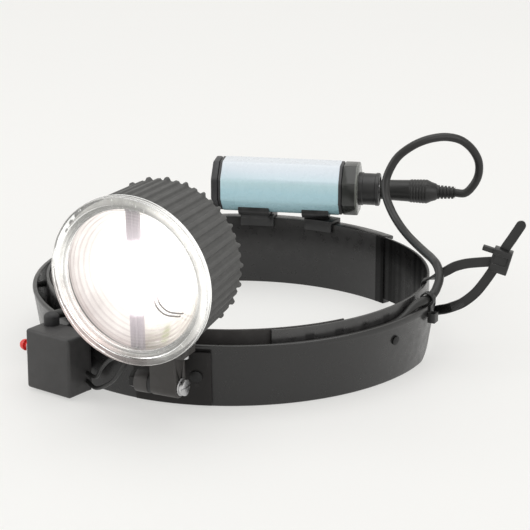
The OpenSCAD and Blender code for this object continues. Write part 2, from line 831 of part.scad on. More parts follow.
module lens() {
    color([0.9, 0.95, 1, 0.25])
        lamp_frame()
            rod(2 * (window_r + 1.1 - gap), ring_back, ring_back + lens_t - gap);
}

module lens_seal() {
    color([0.75, 0.75, 0.72])
        lamp_frame()
            disc_ring(housing_front_r, window_r + 0.3, seal_back, ring_back);
}

module reflector() {
    steps = 12;
    function bowl_z(r) = flange_front - 0.2 - bowl_depth * (1 - r * r / (bowl_r * bowl_r));
    bowl = [for (k = [0:steps]) bowl_r * k / steps];
    color([0.85, 0.85, 0.87])
        lamp_frame()
            difference() {
                rotate_extrude()
                    polygon(concat([for (r = bowl) [r, bowl_z(r)]],
                        [[bowl_r, flange_front], [inner_r(flange_front) - fit_gap, flange_front],
                        [inner_r(flange_front) - fit_gap, flange_back], [bowl_r + bowl_t, flange_back]],
                        [for (k = [steps:-1:0]) [bowl[k] * (bowl_r + bowl_t / 2) / bowl_r, bowl_z(bowl[k]) - bowl_t]]));
                for (y = [-1, 1])
                    translate([0, y * bridge_screw_y, 0])
                        rod(1.7, flange_back - over, flange_front + over);
                translate([17, -17, 0])
                    rod(4, flange_front - bowl_depth, flange_front);
            }
}

module led_bridge() {
    color([0.3, 0.3, 0.32])
        lamp_frame()
            difference() {
                translate([-bridge_w / 2, -inner_r(flange_front) + 0.5, flange_front + gap])
                    cube([bridge_w, 2 * inner_r(flange_front) - 1, bridge_front - flange_front]);
                for (y = [-1, 1])
                    translate([0, y * bridge_screw_y, 0])
                        rod(1.7, flange_front - over, bridge_front + over);
            }
}

module bridge_screws() {
    color(steel)
        lamp_frame()
            for (y = [-1, 1])
                translate([0, y * bridge_screw_y, bridge_front + 2 * gap])
                    screw(1.4, 4.2, 2.4, 0.8);
}

module led_board() {
    color([0.9, 0.9, 0.86])
        lamp_frame()
            translate([-5.5, -7, flange_front - 1.2])
                cube([11, 14, 1.2]);
}

module led_emitter() {
    color([1, 0.93, 0.55])
        lamp_frame()
            translate([0, 0, flange_front - 1.2 - gap])
                rotate([180, 0, 0]) {
                    rod(5.6, 0, 1);
                    intersection() {
                        translate([0, 0, 1])
                            sphere(2.4);
                        rod(6, 1, 4);
                    }
                }
}

module led_wires() {
    start = [[17, -17, board_front + 0.1], [17, -17, flange_front - bowl_depth + 4], [16.5, -16.5, -14]];
    color([0.75, 0.12, 0.1])
        lamp_frame()
            for (s = [-0.8, 0.8])
                tube_along(concat([for (p = start) p + [s, s, 0]], 
                    [for (p = [[13, -13, -11.5], [9, -9, -10.6], [7, -4, -10.4]]) p + [s, s, 0]]), 1.1, 8);
}

module driver_board() {
    color([0.1, 0.35, 0.2])
        lamp_frame()
            difference() {
                rod(2 * (boss_r + 1.4), board_front - board_t, board_front);
                for (a = post_angles)
                    rotate(a)
                        translate([boss_r, 0, 0])
                            rod(2.2, board_front - board_t - over, board_front + over);
            }
}

module driver_parts() {
    color(dark)
        lamp_frame() {
            translate([-12, 6, 0])
                rod(8, board_front + gap, board_front + 3);
            translate([8, 8, board_front + gap])
                cube([6, 5, 1.6]);
            translate([-2, -14, board_front + gap])
                cube([4, 5, 1.8]);
            translate([-14, -10, 0])
                rod(5, board_front + gap, board_front + 3);
        }
}

module board_screws() {
    color(steel)
        lamp_frame()
            for (a = post_angles)
                rotate(a)
                    translate([boss_r, 0, board_front + gap])
                        screw(1.9, board_t + 2.4, 2.4, 0.8);
}

module lamp_gland() {
    color(dark)
        lamp_frame()
            translate([gland_x, pad_y, gland_z])
                rotate([90, 0, 0])
                    difference() {
                        union() {
                            rod(7, gap, 1.4);
                            rod(5.1, -3.6, gap);
                        }
                        for (x = [-1.2, 1.2])
                            translate([x, 0, 0])
                                rod(lead_d + 2 * gap, -5, 3);
                    }
}

module lamp_leads() {
    lower = [[-125.4, 16.9, 6.5], [-119.2, 20.7, 13], [-115.5, 24, 21]];
    upper = [[-125.7, 16, 11.5], [-122.5, 19.2, 18], [-119.1, 22.2, 24], [-116, 24.5, 27.5]];
    color(black) {
        tube_along(concat([box_point(box_w, 12, lead_holes[0])], [for (p = lower) band_point(p[0], p[1], p[2])],
            [for (y = [-5, 2]) lamp_point([gland_x + 1.2, pad_y + y, gland_z])]), lead_d, 8);
        tube_along(concat([box_point(box_w, 12, lead_holes[1])], [for (p = upper) band_point(p[0], p[1], p[2])],
            [for (y = [-2.6, 2]) lamp_point([gland_x - 1.2, pad_y + y, gland_z])]), lead_d, 8);
    }
}

// ---- switch box ----

// Drawn from its lower front corner: +X along its front, +Y towards the band
module box_frame() {
    translate([box_corner[0], box_corner[1], box_z])
        rotate([0, 0, box_yaw])
            children();
}

function box_point(x, y, z) = concat(spin([x, y], box_yaw) + box_corner, [box_z + z]);

module switch_box() {
    color(black)
        box_frame()
            difference() {
                soft_block([box_w, box_d, box_h], box_edge_r);
                difference() {
                    translate([box_wall, box_wall, box_wall])
                        cube([box_w - 2 * box_wall, box_d, box_h - 2 * box_wall]);
                    for (p = cover_posts)
                        translate([p[0], box_d - cover_t - gap, p[1]])
                            rotate([90, 0, 0])
                                rod(4.6, 0, box_d);
                }
                for (p = cover_posts)
                    translate([p[0], box_d, p[1]])
                        rotate([90, 0, 0])
                            rod(1.8, -over, 9);
                translate([0, button_y, button_z])
                    x_rod(bushing_d + 2 * gap, -over, box_wall + over);
                translate([boot_at[0], boot_at[1], 0])
                    rod(4.6, box_h - box_wall - over, box_h + over);
                for (z = lead_holes)
                    translate([box_w, 12, z])
                        x_rod(lead_d + 2 * gap, -box_wall - over, over);
            }
}

module switch_box_cover() {
    color(dark)
        difference() {
            box_frame()
                difference() {
                    union() {
                        translate([box_wall + gap, box_d - cover_t, box_wall + gap])
                            cube([box_w - 2 * box_wall - 2 * gap, cover_t, box_h - 2 * box_wall - 2 * gap]);
                        translate([7, box_d - gap, 4])
                            cube([10, 9, box_h - 6.6]);
                    }
                    for (p = cover_posts)
                        translate([p[0], box_d, p[1]])
                            rotate([90, 0, 0]) {
                                rod(2, -over, cover_t + over);
                                rod(3.6, -over, screw_sink);
                            }
                }
            rotate_extrude()
                translate([band_r, 0])
                    polygon([[-20, 0], [wall_out(0) + gap, 0],
                        [wall_out(front_h - bead_h) + gap, front_h - bead_h],
                        [wall_out(front_h - bead_h) + bead_out + gap, front_h - bead_h + bead_out - gap],
                        [wall_out(front_h - bead_h) + bead_out + gap, front_h + 1], [-20, front_h + 1]]);
        }
}

module cover_screws() {
    color(steel)
        box_frame()
            for (p = cover_posts)
                translate([p[0], box_d - screw_sink + gap, p[1]])
                    rotate([-90, 0, 0])
                        screw(1.7, 5, 3.4, screw_sink);
}

module switch_body() {
    color([0.25, 0.25, 0.27])
        box_frame()
            translate([0, button_y, button_z])
                difference() {
                    union() {
                        x_rod(bushing_d, -3, box_wall + 1);
                        translate([box_wall + gap, -4.5, -4.5])
                            cube([11, 9, 9]);
                        for (z = [-2.5, 2.5])
                            translate([box_wall + 11, -1, z - 0.4])
                                cube([4, 2, 0.8]);
                    }
                    x_rod(button_stem_d + 2 * gap, -4, stem_len + button_travel + 0.6);
                }
}

module switch_nut() {
    color(steel)
        box_frame()
            translate([-1.9, button_y, button_z])
                rotate([0, 90, 0])
                    hex_nut(8, bushing_d + 2 * gap, 1.9 - gap);
}

module button_cap() {
    color([0.85, 0.1, 0.08])
        box_frame()
            translate([0, button_y, button_z]) {
                x_rod(button_stem_d, -button_out + button_cap_len - gap, stem_len);
                intersection() {
                    x_rod(button_d, -button_out, -button_out + button_cap_len);
                    translate([-button_out + button_d, 0, 0])
                        sphere(button_d);
                }
            }
}

module box_gland() {
    color(dark)
        box_frame()
            translate([boot_at[0], boot_at[1], box_h])
                difference() {
                    union() {
                        rod(boot_d, gap, boot_h - boot_dome_r);
                        intersection() {
                            translate([0, 0, boot_h - boot_dome_r])
                                sphere(boot_dome_r);
                            rod(boot_d, boot_h - boot_dome_r - gap, boot_h + over);
                        }
                        rod(4.5, -3, gap);
                    }
                    translate([0, 0, boot_z - box_z - box_h])
                        rotate([-90, 0, 0])
                            rod(cable_d + 4 * gap, 1.5, 8);
                }
}

module held_cable() {
    color(black)
        tube_along(HELD_ROUTE, cable_d, 10);
}

// ---- battery pack ----

// Drawn about the pack's middle: +X along the pack towards the charging socket
module pack_frame() {
    translate([pack_at[0], pack_at[1], pack_z])
        rotate([0, 0, pack_yaw])
            children();
}

module octagon_bar(across, from, to) {
    translate([from, 0, 0])
        rotate([90, 0, 90])
            linear_extrude(to - from)
                rotate(octagon_turn)
                    circle(across / 2 / cos(octagon_turn), $fn = 8);
}

module battery_case() {
    color([0.2, 0.2, 0.22])
        pack_frame()
            difference() {
                octagon_bar(pack_w, case_from + gap, case_to - gap);
                x_rod(bore_d, case_from - over, case_to + over);
            }
}

module battery_label() {
    color([0.62, 0.82, 0.9])
        pack_frame()
            difference() {
                octagon_bar(pack_w + 2 * label_t, case_from + 1, case_to - 1);
                octagon_bar(pack_w + 0.02, case_from, case_to);
            }
}

module left_end_cap() {
    color([0.18, 0.18, 0.2])
        pack_frame()
            difference() {
                union() {
                    octagon_bar(pack_w, case_from - left_cap_len, case_from);
                    x_rod(bore_d - 2 * gap, case_from - gap, cell_from - gap);
                }
                x_rod(15, case_from - 2, cell_from + over);
            }
}

module socket_end_cap() {
    color([0.3, 0.32, 0.34])
        pack_frame()
            difference() {
                octagon_bar(pack_w, case_to, right_cap_to);
                x_rod(bore_d, case_to - over, cell_from + cell_len + gap);
                x_rod(14, case_to, right_cap_to - 2);
                x_rod(7, case_to, right_cap_to + over);
            }
}

module cell() {
    color([0.5, 0.55, 0.75])
        pack_frame() {
            x_rod(cell_d, cell_from, cell_from + cell_len);
            x_rod(6, cell_from + cell_len, cell_from + cell_len + 1);
        }
}

module contact_spring() {
    turns = 3;
    steps = 24;
    span = cell_from - (case_from - 2) - 1;
    color(steel)
        pack_frame()
            tube_along([for (k = [0:turns * steps]) let (a = 360 * k / steps)
                [case_from - 1.5 + span * k / (turns * steps), 5 * cos(a), 5 * sin(a)]], 0.8, 6);
}

module positive_contact() {
    color([0.85, 0.7, 0.35])
        pack_frame()
            x_rod(10, cell_from + cell_len + 1 + gap, right_cap_to - 2 - gap - 1);
}

module dc_socket() {
    color(dark)
        pack_frame()
            difference() {
                x_rod(socket_d, right_cap_to + gap, socket_to);
                x_rod(13, right_cap_to + 1.8, socket_to + over);
            }
}

module jack_insert() {
    color([0.12, 0.12, 0.13])
        pack_frame()
            difference() {
                x_rod(13 - 2 * gap, right_cap_to + 1.8 + gap, socket_to - 0.6);
                x_rod(jack_bore_d, right_cap_to + 2.8, socket_to + over);
                x_rod(2, right_cap_to, socket_to);
            }
}

module jack_pin() {
    color(steel)
        pack_frame()
            x_rod(2, right_cap_to + 1.8 + 2 * gap, socket_to - 1.6);
}

// A clip carries the pack: a saddle that hooks over the band's top flange, a neck and a cradle
module clip(u, w) {
    cradle_in = pack_w / 2 + label_t + gap;
    foot = pack_point(u, 0, 0);
    clip_phi = atan2(foot[1], foot[0]) - band_skew;
    half = w / 2 / band_r * 180 / PI;
    color([0.17, 0.17, 0.18]) {
        band_sweep(clip_phi - half, clip_phi + half)
            polygon([[-clip_t, band_h - 4], [-gap, band_h - 4], [-gap, band_h + gap],
                [rear_flange_w + gap, band_h + gap], [rear_flange_w + gap, band_h - flange_t - 1.2],
                [rear_flange_w + clip_t, band_h - flange_t - 1.2], [rear_flange_w + clip_t, band_h + clip_t],
                [-clip_t, band_h + clip_t]]);
        pack_frame()
            difference() {
                union() {
                    intersection() {
                        octagon_bar(2 * (cradle_in + clip_t), u - w / 2, u + w / 2);
                        translate([u - w / 2, -0.66 * pack_w / 2, -pack_w])
                            cube([w, 2 * pack_w, pack_w + 2]);
                    }
                    translate([u - w / 2 + 1, -5, band_h + 0.3 - pack_z])
                        cube([w - 2, 10, pack_z - band_h - cradle_in - 0.6]);
                }
                octagon_bar(2 * cradle_in, u - w, u + w);
            }
    }
}

module clip_left() {
    clip(-clip_at, clip_left_w);
}

module clip_right() {
    clip(clip_at, clip_right_w);
}

// ---- plug and cable ----

module plug_barrel() {
    color(steel)
        pack_frame()
            difference() {
                x_rod(jack_bore_d - 2 * gap, right_cap_to + 3.2, plug_neck_to - 1);
                x_rod(2.2, right_cap_to, plug_neck_to);
            }
}

module plug_body() {
    grip_r = 6.2;
    color(black)
        pack_frame()
            difference() {
                rotate([0, 90, 0])
                    rotate_extrude()
                        polygon([[0, socket_to + fit_gap], [4.9, socket_to + fit_gap], [4.9, plug_neck_to],
                            [5.2, plug_neck_to + 0.4], [5.6, plug_neck_to + 12], [grip_r, plug_neck_to + 19],
                            [grip_r, plug_neck_to + 21], [5, plug_to - 3], [3.8, plug_to], [0, plug_to]]);
                x_rod(jack_bore_d - 2 * gap, socket_to, plug_neck_to - 1);
            }
}

module plug_strain_relief() {
    ring_pitch = 2;
    color(black)
        pack_frame() {
            x_rod(cable_d + 1.6, plug_to + gap, relief_to);
            for (u = [plug_to + gap : ring_pitch : relief_to - 1.4])
                x_rod(cable_d + 3, u, u + 1.2);
        }
}

module power_cord() {
    color(black)
        tube_along(CORD_ROUTE, cable_d, 10);
}

// ---- cable ties ----

// Its strap runs round the cable and in through the wall's slot; its head lies on the wall's face
module small_tie() {
    half_t = small_tie_t / 2;
    loop_r = cable_d / 2 + 2 * fit_gap + half_t;
    slot_mid = slot_z + slot_h / 2;
    inner = wall_in(slot_mid) - fit_gap - half_t;
    outer = wall_out(slot_mid) + fit_gap + half_t;
    edge = wall_out(front_h - bead_h) + bead_out + fit_gap + half_t;
    head = [3.8, 4.8, 4.6];
    head_z = slot_z - 1.7;
    loop = concat([[outer, slot_mid], [inner, slot_mid], [inner, front_h - 1.2]],
        [for (a = [190:-27.5:-30]) cable_over + loop_r * [cos(a), sin(a)]],
        [[edge, front_h - 0.2], [edge, front_h - bead_h], [outer + 0.6, head_z + head[2] - 0.6]]);
    color([0.13, 0.13, 0.14])
        at_band(small_tie_at) {
            strap_along([for (p = loop) [p[0], p[1], 0]], small_tie_w, small_tie_t);
            translate([wall_out(head_z + head[2]) + gap, -head[1] / 2, head_z])
                cube(head);
        }
}

// A releasable tie, moulded in one piece: its strap, its locking head with the lever, and its tail
module big_tie() {
    head = [9, 6, 11.4];
    lever = [7, 2.8, 2.4];
    color([0.15, 0.15, 0.16])
        at_band(big_tie_at) {
            strap_along(BIG_TIE_ROUTE, big_tie_w, big_tie_t);
            strap_along(TIE_TAIL, big_tie_w, big_tie_t);
            translate([36.4, 0, 48])
                rotate([0, 15, 0]) {
                    translate(-head / 2)
                        cube(head);
                    translate([-head[0] / 2 - lever[0] + 1.6, -lever[1] / 2, 2.4])
                        cube(lever);
                }
        }
}

rear_band();
front_band();
brow_liner();
size_studs();
lamp_bracket();
bracket_rivets();
hinge_screw();
hinge_nut();
hinge_washer();
friction_washer();
tilt_foot();
foot_screws();
lamp_housing();
rear_cover();
rear_cover_screws();
lens_ring();
lens();
lens_seal();
reflector();
led_bridge();
bridge_screws();
led_board();
led_emitter();
led_wires();
driver_board();
driver_parts();
board_screws();
lamp_gland();
lamp_leads();
switch_box();
switch_box_cover();
cover_screws();
switch_body();
switch_nut();
button_cap();
box_gland();
held_cable();
battery_case();
battery_label();
left_end_cap();
socket_end_cap();
cell();
contact_spring();
positive_contact();
dc_socket();
jack_insert();
jack_pin();
clip_left();
clip_right();
plug_barrel();
plug_body();
plug_strain_relief();
power_cord();
small_tie();
big_tie();
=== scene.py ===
"""Looks of the miner's cap lamp: smooth, bevelled pieces and procedural materials round the CAD frame."""
import json
import math

import bmesh
import bpy
from mathutils import Matrix, Vector
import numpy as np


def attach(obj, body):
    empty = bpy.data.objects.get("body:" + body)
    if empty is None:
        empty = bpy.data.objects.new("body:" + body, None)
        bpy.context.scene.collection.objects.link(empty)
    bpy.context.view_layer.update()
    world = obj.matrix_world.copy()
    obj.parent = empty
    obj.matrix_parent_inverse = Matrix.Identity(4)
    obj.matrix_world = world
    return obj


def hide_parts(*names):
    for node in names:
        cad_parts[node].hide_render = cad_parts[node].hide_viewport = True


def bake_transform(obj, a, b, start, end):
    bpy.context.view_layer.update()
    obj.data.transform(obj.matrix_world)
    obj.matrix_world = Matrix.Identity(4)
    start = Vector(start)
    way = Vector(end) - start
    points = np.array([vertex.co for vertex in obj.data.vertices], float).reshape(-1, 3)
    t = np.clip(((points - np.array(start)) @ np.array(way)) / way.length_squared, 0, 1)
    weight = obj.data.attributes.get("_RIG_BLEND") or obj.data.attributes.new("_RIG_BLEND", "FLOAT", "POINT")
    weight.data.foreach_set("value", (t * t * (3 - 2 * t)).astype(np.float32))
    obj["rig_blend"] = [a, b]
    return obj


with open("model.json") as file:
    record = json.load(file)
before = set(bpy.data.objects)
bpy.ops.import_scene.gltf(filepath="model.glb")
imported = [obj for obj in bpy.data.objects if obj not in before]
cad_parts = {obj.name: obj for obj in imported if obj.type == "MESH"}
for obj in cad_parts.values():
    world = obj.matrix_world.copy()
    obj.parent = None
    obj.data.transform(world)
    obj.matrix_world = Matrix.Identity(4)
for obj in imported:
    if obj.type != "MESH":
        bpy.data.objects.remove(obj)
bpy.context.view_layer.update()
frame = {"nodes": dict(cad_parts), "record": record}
nodes = frame["nodes"]
slots = {s["node"]: s["material_slot"] for s in frame["record"]["subparts"]}

MM = 0.001


# ---------------- places, as in the CAD source

BAND_R = 87.5
EAR_STRETCH = 5.5
EAR_SLOPE = 0.75
BAND_SKEW = 26
BAND_H = 35
FLANGE_T = 1.8
FRONT_H = 30.6
FRONT_FOOT = 4
FRONT_LEAN = 4.7
FRONT_T = 1.8
BEAD_H = 2.2
BEAD_OUT = 0.2

# The band's line is an oval: a round half, two wide arcs at its sides and a tight arc between them
EAR_TURN = math.atan(EAR_SLOPE)
EAR_ARC = math.degrees(EAR_TURN)
ARC_STEP = EAR_STRETCH / (math.sin(EAR_TURN) + math.cos(EAR_TURN) - 1)
SIDE_SHIFT = ARC_STEP * math.sin(EAR_TURN)
SIDE_R = BAND_R + SIDE_SHIFT
TIGHT_R = SIDE_R - ARC_STEP
TIGHT_X = ARC_STEP * math.cos(EAR_TURN)
# Angles of the outward normal from and to which an arc goes, its radius and the centre's x and y
BAND_ARCS = [
    (-90, -EAR_ARC, SIDE_R, 0, SIDE_SHIFT),
    (-EAR_ARC, EAR_ARC, TIGHT_R, TIGHT_X, 0),
    (EAR_ARC, 90, SIDE_R, 0, -SIDE_SHIFT),
    (90, 270, BAND_R, 0, 0),
]


def cosd(a):
    return math.cos(math.radians(a))


def sind(a):
    return math.sin(math.radians(a))


def arc_of(phi):
    around = phi - 360 * math.floor((phi + 90) / 360)
    return next(arc for arc in BAND_ARCS if arc[0] <= around < arc[1])


def shift(x, y, z):
    """A move in mm."""
    return Matrix.Translation(Vector((x, y, z)) * MM)


def turn(angle, axis):
    return Matrix.Rotation(math.radians(angle), 4, axis)


def spin(x, y, angle):
    return x * cosd(angle) - y * sind(angle), x * sind(angle) + y * cosd(angle)


def band_point(phi, off, z):
    """A point by the band in mm: angle of the outward normal, offset outward, height."""
    _, _, r, x, y = arc_of(phi)
    r += off
    return Vector((*spin(x + r * cosd(phi), y + r * sind(phi), BAND_SKEW), z))


def at_band(phi, off=0, z=0):
    """Frame at a place by the band, with +X pointing outward."""
    return shift(*band_point(phi, off, z)) @ turn(phi + BAND_SKEW, "Z")


def wall_out(z):
    return FRONT_FOOT + FRONT_LEAN / FRONT_H * z


def wall_in(z):
    return wall_out(z) - FRONT_T


HINGE_Z = 15.4
BRACKET_T = 1.8
EAR_REACH = 9.6
HINGE = Vector((0, -(BAND_R + wall_out(HINGE_Z) + BRACKET_T + EAR_REACH), HINGE_Z))
LAMP_X = 17.4
LAMP_PITCH = 2.5
LAMP_RISE = 56.2
LAMP_AHEAD = 25.2
LAMP = (shift(LAMP_X, HINGE.y, HINGE.z) @ turn(90 + LAMP_PITCH, "X")
        @ shift(0, LAMP_RISE, LAMP_AHEAD))
BOX_SIZE = (26.4, 15.8, 28.4)
BOX_YAW = -11.5
BOX_PHI, BOX_OFF, BOX_Z = -143.3, 13.1, 1
BOX_CORNER = band_point(BOX_PHI, BOX_SIZE[1] + BOX_OFF, BOX_Z)
BOX = shift(*BOX_CORNER) @ turn(BOX_YAW, "Z")
PACK_YAW = 17
PACK_PHI, PACK_OFF, PACK_Z = 74.1, 2, 52.5
PACK = shift(*band_point(PACK_PHI, PACK_OFF, PACK_Z)) @ turn(PACK_YAW, "Z")
ALONG_X = turn(90, "Y")
PACK_AXIS = PACK @ ALONG_X


def in_frame(matrix, x, y, z):
    """A point given in mm in a frame, in mm in the row frame."""
    return matrix @ (Vector((x, y, z)) * MM) / MM


# ---------------- node trees

NOISE_REACH = (0.3, 0.7)
NARROW_REACH = (0.35, 0.65)
HAZE_REACH = (0.35, 0.75)


class Tree:
    """A material's node tree with short calls for the nodes that the finishes share."""

    def __init__(self, name):
        self.material = bpy.data.materials.new(name)
        self.material.use_nodes = True
        self.tree = self.material.node_tree
        self.shader = self.tree.nodes["Principled BSDF"]
        self.coords = self.node("ShaderNodeTexCoord").outputs["Object"]

    def node(self, kind, **inputs):
        made = self.tree.nodes.new(kind)
        for key, value in inputs.items():
            self.feed(made.inputs[key.replace("_", " ")], value)
        return made

    def feed(self, socket, value):
        if isinstance(value, bpy.types.NodeSocket):
            self.tree.links.new(value, socket)
        else:
            socket.default_value = value

    def set(self, **inputs):
        for key, value in inputs.items():
            self.feed(self.shader.inputs[key.replace("_", " ")], value)

    def stretched(self, scale):
        mapping = self.node("ShaderNodeMapping", Vector=self.coords)
        mapping.inputs["Scale"].default_value = scale
        return mapping.outputs["Vector"]

    def noise(self, scale, detail=3, roughness=0.55, vector=None):
        made = self.node("ShaderNodeTexNoise", Vector=vector or self.coords, Scale=scale,
                         Detail=detail, Roughness=roughness)
        return made.outputs["Fac"]

    def patchy(self, scale, low, high, detail=3, reach=NOISE_REACH):
        """Noise that goes from low to high over the part of its range that it mostly covers."""
        return self.span(self.noise(scale, detail), *reach, low, high)

    def cells(self, scale):
        return self.node("ShaderNodeTexVoronoi", Vector=self.coords, Scale=scale).outputs["Distance"]

    def math(self, operation, a, b=0):
        made = self.tree.nodes.new("ShaderNodeMath")
        made.operation = operation
        for i, value in enumerate((a, b)):
            self.feed(made.inputs[i], value)
        return made.outputs[0]

    def plus(self, a, b):
        return self.math("ADD", a, b)

    def minus(self, a, b):
        return self.math("SUBTRACT", a, b)

    def times(self, a, b):
        return self.math("MULTIPLY", a, b)

    def parts(self, vector):
        return self.node("ShaderNodeSeparateXYZ", Vector=vector).outputs

    def length(self, x, y):
        return self.math("SQRT", self.plus(self.times(x, x), self.times(y, y)))

    def local(self, matrix):
        """Position in a piece's own frame, in mm."""
        mapping = self.node("ShaderNodeMapping", Vector=self.coords)
        mapping.vector_type = "TEXTURE"
        location, rotation, _ = matrix.decompose()
        mapping.inputs["Location"].default_value = location
        mapping.inputs["Rotation"].default_value = rotation.to_euler("XYZ")
        mapping.inputs["Scale"].default_value = (MM, MM, MM)
        return mapping.outputs["Vector"]

    def span(self, value, low, high, to_low, to_high):
        made = self.node("ShaderNodeMapRange", Value=value)
        for key, number in (("From Min", low), ("From Max", high), ("To Min", to_low), ("To Max", to_high)):
            made.inputs[key].default_value = number
        return made.outputs["Result"]

    def blend(self, factor, a, b, mode="MIX"):
        made = self.tree.nodes.new("ShaderNodeMix")
        made.data_type = "RGBA"
        made.blend_type = mode
        self.feed(made.inputs[0], factor)
        for i, value in ((6, a), (7, b)):
            self.feed(made.inputs[i], (*value, 1) if isinstance(value, tuple) and len(value) == 3 else value)
        return made.outputs[2]

    def ramp(self, factor, stops):
        made = self.node("ShaderNodeValToRGB", Fac=factor)
        ramp = made.color_ramp
        while len(ramp.elements) < len(stops):
            ramp.elements.new(0.5)
        for element, (at, colour) in zip(ramp.elements, stops):
            element.position = at
            element.color = (*colour, 1)
        return made.outputs["Color"]

    def worn(self):
        """Where the surface has a sharp outward edge."""
        return self.span(self.node("ShaderNodeNewGeometry").outputs["Pointiness"], 0.52, 0.62, 0, 1)

    def bump(self, height, strength, distance, below=None):
        made = self.node("ShaderNodeBump", Height=height, Strength=strength, Distance=distance)
        if below is not None:
            self.feed(made.inputs["Normal"], below)
        return made.outputs["Normal"]


def scaled(colour, k):
    return tuple(c * k for c in colour)


# Grains per metre of the noises that all plastics share, and how long their scratches are drawn out
CLOUDS = 45
WEAR_SPOTS = 260
SHINE_SPOTS = 220
DENTS = 70
SCRATCHES = 160
SCRATCH_STRETCH = (1, 1, 14)
SCRATCH_DEPTH = 0.25
DENT_DEPTH = 0.00012


def plastic(name, base, rough, grain, grain_depth, wear, worn_colour=None, coat=0, specular=0.5,
            painted_light_by=None):
    """Moulded plastic: clouded colour, grained and lightly scratched, paler along its worn edges.

    The last argument gives a factor of painted light and shade over the surface that scales its colour and
    its shine."""
    t = Tree(name)
    tone = t.blend(t.noise(CLOUDS, 4), scaled(base, 0.8), scaled(base, 1.25))
    edge = t.times(t.worn(), t.patchy(WEAR_SPOTS, 0, wear, reach=NARROW_REACH))
    colour = t.blend(edge, tone, worn_colour or tuple(min(1, c * 2.4 + 0.03) for c in base))
    # Painted light and shade, where given, multiplies the colour and scales the shine and the coat
    if painted_light_by:
        factor = painted_light_by(t)
        colour = t.blend(1, colour, factor, "MULTIPLY")
        specular, coat = t.times(factor, specular), t.times(factor, coat)
    lines = t.noise(SCRATCHES, 2, 0.5, t.stretched(SCRATCH_STRETCH))
    marks = t.times(t.span(lines, 0.62, 0.72, 0, SCRATCH_DEPTH), 0.25)
    t.set(Base_Color=colour, Roughness=t.plus(t.patchy(SHINE_SPOTS, *rough, 4), marks),
          Specular_IOR_Level=specular, Coat_Weight=coat, Coat_Roughness=0.12)
    fine = t.bump(t.noise(grain, 2), 0.35, grain_depth)
    t.set(Normal=t.bump(t.noise(DENTS, 2), 0.25, DENT_DEPTH, fine))
    return t.material


def metal(name, base, rough):
    """Plated metal with dull spots and fine streaks."""
    t = Tree(name)
    t.set(Base_Color=t.blend(t.noise(300, 4), scaled(base, 0.82), base), Metallic=1)
    streaks = t.noise(900, 3, 0.5)
    t.set(Roughness=t.span(streaks, *NOISE_REACH, *rough), Normal=t.bump(streaks, 0.25, 0.00002))
    return t.material


CLEAR_IOR = 1.49
# How the painted reflection streaks inside the tongue are drawn out
TONGUE_REFLECTION_STREAKS = (1, 1, 0.03)
TONGUE_SEAM = -0.3
TONGUE_EDGE = 0.0006
# How much the painted sheen brightens the tongue's outside
OUTER_PAINTED_SHEEN = 1.5


def tongue_painted_light(t):
    """Painted light on the rear moulding's right tongue: painted shade with faint streaks of painted
    reflection inside, and a paler painted sheen outside.
    """
    x, y, _ = t.parts(t.coords)
    nx, ny, _ = t.parts(t.node("ShaderNodeNewGeometry").outputs["Normal"])
    outward = t.plus(t.times(x, nx), t.times(y, ny))
    seam = math.radians(REAR[0] + TONGUE_SEAM + BAND_SKEW)
    right = t.minus(t.times(x, math.sin(seam)), t.times(y, math.cos(seam)))
    on_tongue = t.span(right, 0, TONGUE_EDGE, 0, 1)
    # Faint vertical streaks of painted reflection in the painted shade inside the tongue
    lines = t.noise(240, 2, 0.5, t.stretched(TONGUE_REFLECTION_STREAKS))
    streaks = t.span(lines, *NARROW_REACH, 0.12, 0.32)
    side = t.span(outward, -0.02, 0.02, 0, 1)
    # Painted sheen outside the tongue, painted shade with reflection streaks inside it, and no change off the
    # tongue
    tongue = t.plus(t.times(side, OUTER_PAINTED_SHEEN), t.times(streaks, t.minus(1, side)))
    return t.plus(t.times(on_tongue, tongue), t.minus(1, on_tongue))


# Where the plate's painted shadow fades in beyond the hinge, in mm, and how dark it makes the plate
PLATE_EDGE = (5, 7)
PLATE_SHADOW_DEPTH = 0.4
LIT_TURN = 22
PINK_SIDE = (-0.55, -0.83)
PINK_FROM, PINK_TO = 22, 36


def plate_painted_shadow(t):
    """A painted shadow, as cast by the lamp head, darkens the bracket's plate; its ear keeps its own colour.
    """
    near, far = [(HINGE.y + edge) * MM for edge in PLATE_EDGE]
    return t.span(t.parts(t.coords)[1], near, far, 1, PLATE_SHADOW_DEPTH)


def lamp_polar(t):
    """Position in the lamp head's own frame, in mm: x, y and the distance from the axis; the beam is +Z."""
    x, y, _ = t.parts(t.local(LAMP))
    return x, y, t.length(x, y)


def lit_sides(t, x, y, r):
    """Where the light from the bowl runs into the front's rim: its upper right and its lower left."""
    twice = math.radians(2 * LIT_TURN)
    squares = t.minus(t.times(x, x), t.times(y, y))
    product = t.times(t.times(x, y), 2)
    wave = t.plus(t.times(squares, math.cos(twice)), t.times(product, math.sin(twice)))
    return t.span(t.math("DIVIDE", wave, t.times(r, r)), -0.55, 0.5, 0, 1)


def fine_rings(t, r, pitch, start, end):
    """Thin concentric lines that grow stronger from start to end."""
    wave = t.math("SINE", t.times(r, 2 * math.pi / pitch))
    return t.times(t.span(wave, 0, 1, 0, 1), t.span(r, start, end, 0, 1))


def rim_glow_colour(t, x, y):
    """Colour of the painted glow on the front's rim: warm white, turning pink low on the left."""
    low_left = t.plus(t.times(x, PINK_SIDE[0]), t.times(y, PINK_SIDE[1]))
    pink = t.span(low_left, PINK_FROM, PINK_TO, 0, 0.6)
    return t.blend(pink, (1, 0.97, 0.92), (1, 0.66, 0.6))


